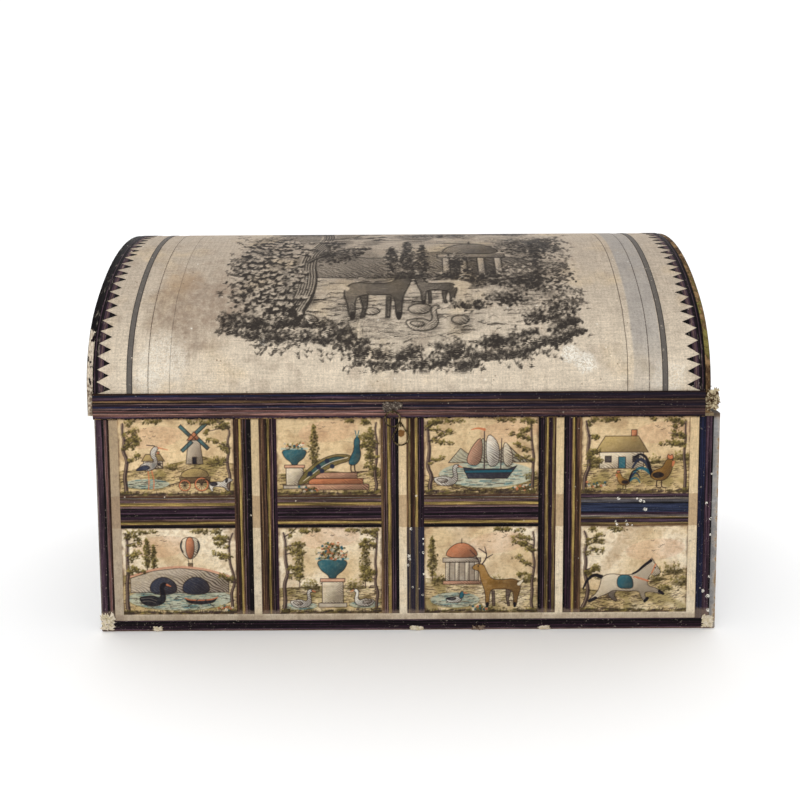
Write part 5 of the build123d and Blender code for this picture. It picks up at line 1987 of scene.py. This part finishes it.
    def build_tuft(self) -> None:
        """Draws the tuft of torn fibres at the lid's right corner."""
        fibre = TornPaper("torn_fibre", Paint.OLIVE, Paint.WALNUT).make()
        random = np.random.default_rng(71)
        foot = corner("right_cheek_board")[0]
        bundle = TornPaper("torn_corner_paper", Paint.BUFF, Paint.BRACKEN).make()
        for number, (left, up, wide, tall, lift, seed) in enumerate(self.torn_corner, 1):
            low = (foot[0] + left, foot[1] - 0.2, foot[2] + up)
            piece = scrap(f"torn_corner_right_{number}", low, wide, tall, lift, seed)
            place_piece(piece, bundle, self.name, "board")
        for number in range(1, 12):
            start = foot + (random.uniform(0.5, 3.5), -0.2, random.uniform(5, 17))
            heading, steps = random.uniform(0.5, 2.4), [start]
            for _ in range(9):
                heading += random.normal(0, 0.55)
                step = 0.7 * np.array([math.cos(heading) * 0.9, random.normal(-0.25, 0.3), math.sin(heading)])
                steps.append(steps[-1] + step)
            line = np.array(steps)
            line[:, 0] = np.clip(line[:, 0], foot[0], 226.6)
            line[:, 1] = np.clip(line[:, 1], -151.5, foot[1])
            piece = tube(f"right_fibre_{number}", line, random.uniform(0.16, 0.4), False)
            place_piece(piece, fibre, self.name, "board")


def engrave(d: Picture) -> None:
    """Engraves the dome's scene: deer at a pond below a temple, closed in by leaves, with no hard edge."""
    w, h, x, y = d.width, d.height, d.x[None, :], d.y[:, None]
    reach = (np.abs((x - w * 0.5) / (w * 0.47)) ** 3 + np.abs((y - h * 0.56) / (h * 0.5)) ** 3) ** (1 / 3)
    inside = smooth((0.97 - reach - 0.2 * (d.cloud(15.0) - 0.5)) / 0.06)
    d.wash(inside, ink(0.24))
    d.wash(inside * 0.8 * smooth((d.cloud(18.0) - 0.5) * 4), ink(0.55))
    engrave_distance(d)
    engrave_shore(d)
    engrave_border(d)


def rule_lines(d: Picture, x: Point, y: Point, count: int, length: Point, tones: Sequence[float]) -> None:
    """Rules short, nearly level lines over part of the print.

    Args:
        d: The print.
        x: Shares of the width between which they start.
        y: Shares of the height between which they lie.
        count: How many.
        length: Shortest and longest.
        tones: Depths of ink to choose from.
    """
    w, h, random = d.width, d.height, d.random
    for _ in range(count):
        px, py, long = w * d.between(*x), h * d.between(*y), d.between(*length)
        d.stroke([(px, py), (px + long / 2, py + 0.4 + d.stray(0.8)), (px + long, py)], 1.0, 0.5,
                 ink(random.choice(tones)), d.between(0.5, 0.95))


def engrave_distance(d: Picture) -> None:
    """Engraves what lies far off: the sky, hills, trees and a temple."""
    w, h, random = d.width, d.height, d.random
    rule_lines(d, (0.1, 0.8), (0.64, 0.97), 330, (5, 22), (0.08, 0.5, 0.85))
    hills = rounded([(w * 0.08, h * 0.42), (w * 0.1, h * 0.52), (w * 0.26, h * 0.64), (w * 0.42, h * 0.54),
                     (w * 0.6, h * 0.64), (w * 0.9, h * 0.54), (w * 0.9, h * 0.42)], True)
    d.shape(hills, ink(0.5), 0.7, ink(0.9), 3.2)
    for share, tall in ((0.47, 46), (0.515, 60), (0.56, 50), (0.885, 60)):
        d.poplar(w * share, h * 0.43, tall)
    masses = ((0.3, 0.6, 22, 14, 260), (0.86, 0.7, 24, 24, 420), (0.6, 0.88, 30, 12, 300))
    for px, py, wide, high, count in masses:
        d.foliage(w * px, h * py, wide, high, count, 0.36)
    d.put(TEMPLE, w * 0.7, h * 0.4, 1.9, 1)
    for _ in range(90):
        px, py = w * d.between(0.52, 0.88), h * random.normal(0.41, 0.02)
        d.foliage(px, py, d.between(3, 6), d.between(2, 4), 12, 0.3)


def engrave_shore(d: Picture) -> None:
    """Engraves the pond, the path, a great tree and the deer."""
    w, h = d.width, d.height
    rule_lines(d, (0.08, 0.86), (0.1, 0.44), 700, (3, 13), (0.05, 0.7, 0.95))
    for px, py, wide, high in ((0.7, 0.29, 34, 12), (0.6, 0.36, 26, 8), (0.8, 0.22, 22, 6)):
        d.dab(w * px, h * py, wide, high, 0.15, ink(0.08), 0.8)
    rule_lines(d, (0.52, 0.86), (0.2, 0.38), 110, (3, 10), (0.3, 0.8))
    d.water(w * 0.5, h * 0.17, 40, 9)
    for px, py, size in ((0.55, 0.25, 1.0), (0.66, 0.2, 0.8), (0.24, 0.2, 1.2), (0.42, 0.24, 0.7)):
        rock = [(w * px + 9 * size * math.cos(a) * d.between(0.8, 1.2), h * py + 5 * size * math.sin(a))
                for a in np.linspace(0, 5.6, 8)]
        d.shape(rounded(rock, True), ink(0.2), 0.9, ink(0.95), 1.9)
    trunk = rounded([(w * 0.2, h * 0.2), (w * 0.25, h * 0.36), (w * 0.23, h * 0.56), (w * 0.29, h * 0.76),
                     (w * 0.27, h * 0.98)], False)
    d.stroke(trunk, 17, 7, ink(0.92), 0.9)
    for shift in np.linspace(-0.4, 0.3, 6):
        d.stroke(trunk + (shift * 15, 0), 1.3, 0.8, ink(0.12), 0.75)
    for root in (-1.0, -0.4, 0.5, 1.1):
        points = [(w * 0.205, h * 0.24), (w * 0.2 + root * 12, h * 0.19), (w * 0.2 + root * 22, h * 0.17)]
        d.stroke(points, 6, 1.2, ink(0.9), 0.9)
    for share, heading in ((0.5, 0.6), (0.62, 2.6), (0.75, 0.4), (0.85, 2.3), (0.93, 0.9)):
        start = trunk[int(share * (len(trunk) - 1))]
        d.bough(*start, heading, 22, 4.5, 2, 0.45)
    d.put(STAG, w * 0.43, h * 0.2, 2.2, 1)
    d.put(STAG, w * 0.6, h * 0.27, 1.35, -1)
    d.put(SWAN, w * 0.56, h * 0.15, 1.3, 1)
    d.reeds(w * 0.36, h * 0.12, 16, 16, 50)


def engrave_border(d: Picture) -> None:
    """Engraves the leaves that close the scene in: a vine at the left, undergrowth below and at the right."""
    w, h, random = d.width, d.height, d.random
    masses = (
        (0.07, 0.5, 15, 36, 330), (0.1, 0.76, 20, 24, 330), (0.18, 0.93, 28, 12, 300), (0.93, 0.46, 15, 26, 300),
        (0.92, 0.72, 16, 24, 330), (0.8, 0.93, 30, 11, 330), (0.93, 0.27, 15, 16, 260), (0.14, 0.3, 24, 24, 420),
        (0.84, 0.42, 17, 14, 320), (0.78, 0.31, 16, 8, 260), (0.66, 0.55, 9, 12, 120), (0.52, 0.44, 20, 5, 130),
        (0.68, 0.27, 13, 5, 130), (0.87, 0.22, 14, 7, 170),
    )
    for px, py, wide, high, count in masses:
        d.foliage(w * px, h * py, wide, high, count, 0.4)
    for _ in range(330):
        px, py = w * 0.13 + 13 * float(np.clip(random.normal(), -2, 2.2)), h * 0.43 + d.between(-52, 62)
        turn = d.between(0, math.pi)
        d.dab(px, py - 0.5, 3.2, 2.4, turn, ink(0.95), 0.7)
        for lobe in (-0.9, 0, 0.9):
            d.dab(px + 1.6 * math.cos(turn + lobe), py + 1.6 * math.sin(turn + lobe), 2.0, 0.9, turn + lobe,
                  ink(d.between(0.02, 0.35)), 0.85)
        d.stroke([(px - 1.8, py - 1.4), (px + 1.8, py - 0.9)], 0.9, 0.6, ink(1.0), 0.8)
    across = (0.02, 0.12, 0.26, 0.4, 0.55, 0.7, 0.85, 0.98)
    heights = (0.17, 0.15, 0.13, 0.06, 0.035, 0.07, 0.1, 0.15)
    for share in np.linspace(0.04, 0.96, 34):
        low = h * float(np.interp(share, across, heights)) + d.stray(2.5)
        d.foliage(w * share, low, d.between(6, 12), d.between(3.5, 6.5), 75, 0.42)
        if random.random() < 0.7:
            d.foliage(w * share + d.stray(4), low + 9, d.between(6, 11), d.between(4, 7), 60, 0.3)
    for _ in range(110):
        share = d.between(0.1, 0.97)
        px = w * share
        py = h * float(np.interp(share, across, heights)) - d.between(6, 17)
        for lean in d.between(-1.5, 1.5, 4):
            d.stroke([(px, py), (px + lean * 2.4, py + d.between(0.5, 3.5))], 1.1, 0.6, ink(0.7), 0.8)
    for _ in range(50):
        px = w * random.choice([d.between(0.0, 0.05), d.between(0.95, 1.0)])
        py = h * d.between(0.15, 0.9)
        for lean in (-1.5, -0.3, 1.0, 2.2):
            d.dab(px + 1.8 * math.cos(lean), py + 1.8 * math.sin(lean), 1.7, 0.8, lean, ink(0.7), 0.8)


@dataclass(frozen=True)
class HingeTape:
    """The linen tape that hinges the lid, one cloth across the seam."""

    thickness: float = 0.4
    half_bend: float = 1.5
    seam: float = 163.35

    def build(self) -> None:
        (low, _), (_, high) = corner("hinge_box_leaf"), corner("hinge_lid_leaf")
        near = self.seam + np.linspace(-self.half_bend * 1.4, self.half_bend * 1.4, 17)
        below, above = np.linspace(low[2], near[0], 22)[:-1], np.linspace(near[-1], high[2], 14)[1:]
        rows = np.concatenate([below, near, above])
        columns = np.linspace(low[0], high[0], 240)
        face = high[1]

        def place(u: Array, v: Array, depth: float) -> Array:
            """Lays the tape flat against the back, with a frayed selvedge."""
            fray = 0.35 * wobble(u, 1.8, 91)
            end = np.clip((low[2] + 1.2 - v) / 1.2, 0, 1) - np.clip((v - high[2] + 1.2) / 1.2, 0, 1)
            y = np.full_like(u, face - self.thickness * depth)
            return np.c_[u, y, v + np.abs(fray) * end]

        piece = Sheet("linen_hinge_tape", columns, rows, place).build()
        dress(piece, LinenTape().make())
        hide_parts("hinge_box_leaf", "hinge_lid_leaf")
        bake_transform(piece)
        LOG.info("%s bends from box to lid", piece.name)


@dataclass(frozen=True)
class Closure:
    """The two wire rings, their cotters and the torn leather behind the upper one."""

    wire: float = 0.6
    steps: int = 72

    def build(self) -> None:
        """Builds the rings and the leather, and dresses the cotters."""
        brass = TarnishedWire().make()
        self.build_lid_ring(brass)
        self.build_box_ring(brass)
        dress_nodes(brass, "lid_cotter", "box_cotter")
        self.build_tab()

    def build_lid_ring(self, brass: Material) -> None:
        """Bends the lid's ring."""
        low, high = corner("lid_ring")
        middle, radius = (low + high) / 2, (high[0] - low[0]) / 2 - self.wire
        turn = np.linspace(0, 2 * math.pi, self.steps, endpoint=False)
        points = np.c_[
            middle[0] + radius * np.cos(turn), np.full_like(turn, middle[1]), middle[2] + radius * np.sin(turn)
        ]
        place_piece(tube("lid_wire_ring", points, self.wire, True), brass, "lid_ring", "wire", "lid_ring")

    def build_box_ring(self, brass: Material) -> None:
        """Bends the box's pear-shaped ring, round below and narrow where it hangs."""
        low, high = corner("box_ring")
        middle, radius, tip = (low + high) / 2, (high[0] - low[0]) / 2 - self.wire, 1.6
        centre = low[2] + self.wire + radius
        tip_centre = high[2] - self.wire - tip
        lean = math.asin((radius - tip) / (tip_centre - centre))
        over = np.linspace(lean, math.pi - lean, 16)
        under = np.linspace(math.pi - lean, 2 * math.pi + lean, 48)
        x = np.concatenate([tip * np.cos(over), radius * np.cos(under)])
        z = np.concatenate([tip_centre + tip * np.sin(over), centre + radius * np.sin(under)])
        points = np.c_[middle[0] + x, np.full_like(x, middle[1]), z]
        place_piece(tube("box_wire_ring", points, self.wire, True), brass, "box_ring", "wire", "box_ring")

    def build_tab(self) -> None:
        """Tears the leather patch behind the lid's ring."""
        low, high = corner("clasp_tab")
        columns, rows = np.linspace(0, 1, 40), np.linspace(0, 1, 30)
        wide, tall = high[0] - low[0], high[2] - low[2]

        def place(u: Array, v: Array, depth: float) -> Array:
            """Tears the outline and cockles the face."""
            left, right = 0.06 * (1 + wobble(v, 0.08, 51)), -0.06 * (1 + wobble(v, 0.06, 52))
            bottom = 0.16 * (1 + wobble(u, 0.07, 53)) + 0.12 * u
            top = -0.1 * (1 + wobble(u, 0.06, 54)) - 0.1 * np.abs(u - 0.55)
            x = low[0] + wide * (u + left * (1 - u) + right * u)
            z = low[2] + tall * (v + bottom * (1 - v) + top * v)
            cockle = 0.3 * wobble(u + 0.4 * v, 0.11, 55) * wobble(v, 0.2, 56)
            return np.c_[x, np.full_like(u, high[1]) - (1 - depth) * (0.75 + cockle), z]

        piece = Sheet("torn_leather_patch", columns, rows, place, bent=True).build()
        place_piece(piece, TornLeather().make(), "lid", "leather", "clasp_tab")


@dataclass(frozen=True)
class Studio:
    """The pale floor, the soft light and the camera that took the photograph."""

    camera_place: Triple = (0.0, -0.8423, 0.3345)
    lens: float = 43.94
    shift: Point = (-0.008, -0.1559)
    pitch: float = 5.68
    roll: float = -0.0057
    sky: float = 0.72
    sky_behind: float = 1.5
    sky_seen: float = 1.1
    key: float = 19.0
    floor_seen: float = 1.08
    floor_bounce: float = 0.8

    def build(self) -> None:
        """Sets the stage, the light and the camera."""
        self.lay_floor()
        self.light()
        self.set_camera()
        bpy.context.scene.view_settings.view_transform = "Standard"

    def lay_floor(self) -> None:
        """Lays the floor as a wide flat white plane."""
        bm = bmesh.new()
        bmesh.ops.create_grid(bm, x_segments=1, y_segments=1, size=12.0)
        mesh = bpy.data.meshes.new("floor")
        bm.to_mesh(mesh)
        bm.free()
        floor = bpy.data.objects.new("floor", mesh)
        bpy.context.collection.objects.link(floor)
        g = Graph("studio_floor")
        path = g.node("LightPath")
        tone = g.times(path.outputs["Is Camera Ray"], self.floor_seen - self.floor_bounce, self.floor_bounce)
        g.feed(g.shader.inputs["Base Color"], tone)
        g.shader.inputs["Roughness"].default_value = 1.0
        g.shader.inputs["Specular IOR Level"].default_value = 0.0
        mesh.materials.append(g.material)

    def light(self) -> None:
        """Lights the scene from all round, most from behind, with one soft lamp in front."""
        world = bpy.data.worlds.new("studio")
        bpy.context.scene.world = world
        world.use_nodes = True
        tree, join = world.node_tree, world.node_tree.links.new
        kinds = ("TexCoord", "SeparateXYZ", "MapRange", "Background", "LightPath", "MixShader")
        towards, parts, slope, seen, path, choice = (tree.nodes.new("ShaderNode" + kind) for kind in kinds)
        back = tree.nodes["Background"]
        for place, value in enumerate((-0.2, 0.5, self.sky, self.sky_behind), 1):
            slope.inputs[place].default_value = value
        seen.inputs["Strength"].default_value = self.sky_seen
        for node in (back, seen):
            node.inputs["Color"].default_value = (1.0, 1.0, 1.0, 1.0)
        join(towards.outputs["Generated"], parts.inputs[0])
        join(parts.outputs["Y"], slope.inputs["Value"])
        join(slope.outputs[0], back.inputs["Strength"])
        for number, socket in enumerate((path.outputs["Is Camera Ray"], back.outputs[0], seen.outputs[0])):
            join(socket, choice.inputs[number])
        join(choice.outputs[0], tree.nodes["World Output"].inputs["Surface"])
        lamp = bpy.data.lights.new("key", "AREA")
        lamp.energy, lamp.size = self.key, 1.5
        holder = bpy.data.objects.new("key", lamp)
        holder.location = (-0.5, -2.2, 0.6)
        aim = Vector((0, 0, 0.15)) - holder.location
        holder.rotation_euler = aim.to_track_quat("-Z", "Y").to_euler()
        bpy.context.collection.objects.link(holder)

    def set_camera(self) -> None:
        """Sets the camera by the fit to the photograph."""
        lens = bpy.data.cameras.new("camera")
        lens.lens, lens.sensor_width = self.lens, 36.0
        lens.shift_x, lens.shift_y = self.shift
        camera = bpy.data.objects.new("camera", lens)
        turn = Matrix.Rotation(math.radians(90 - self.pitch), 4, "X") @ Matrix.Rotation(self.roll, 4, "Z")
        camera.matrix_world = Matrix.Translation(self.camera_place) @ turn
        bpy.context.collection.objects.link(camera)
        bpy.context.scene.camera = camera


def main() -> None:
    """Builds every sub-assembly in order."""
    logging.basicConfig(level=logging.INFO, format="%(message)s")
    for part in (Body(), Lid(), HingeTape(), Closure(), Studio()):
        part.build()
        LOG.info("%s done", type(part).__name__)


if __name__ == "__main__":
    main()
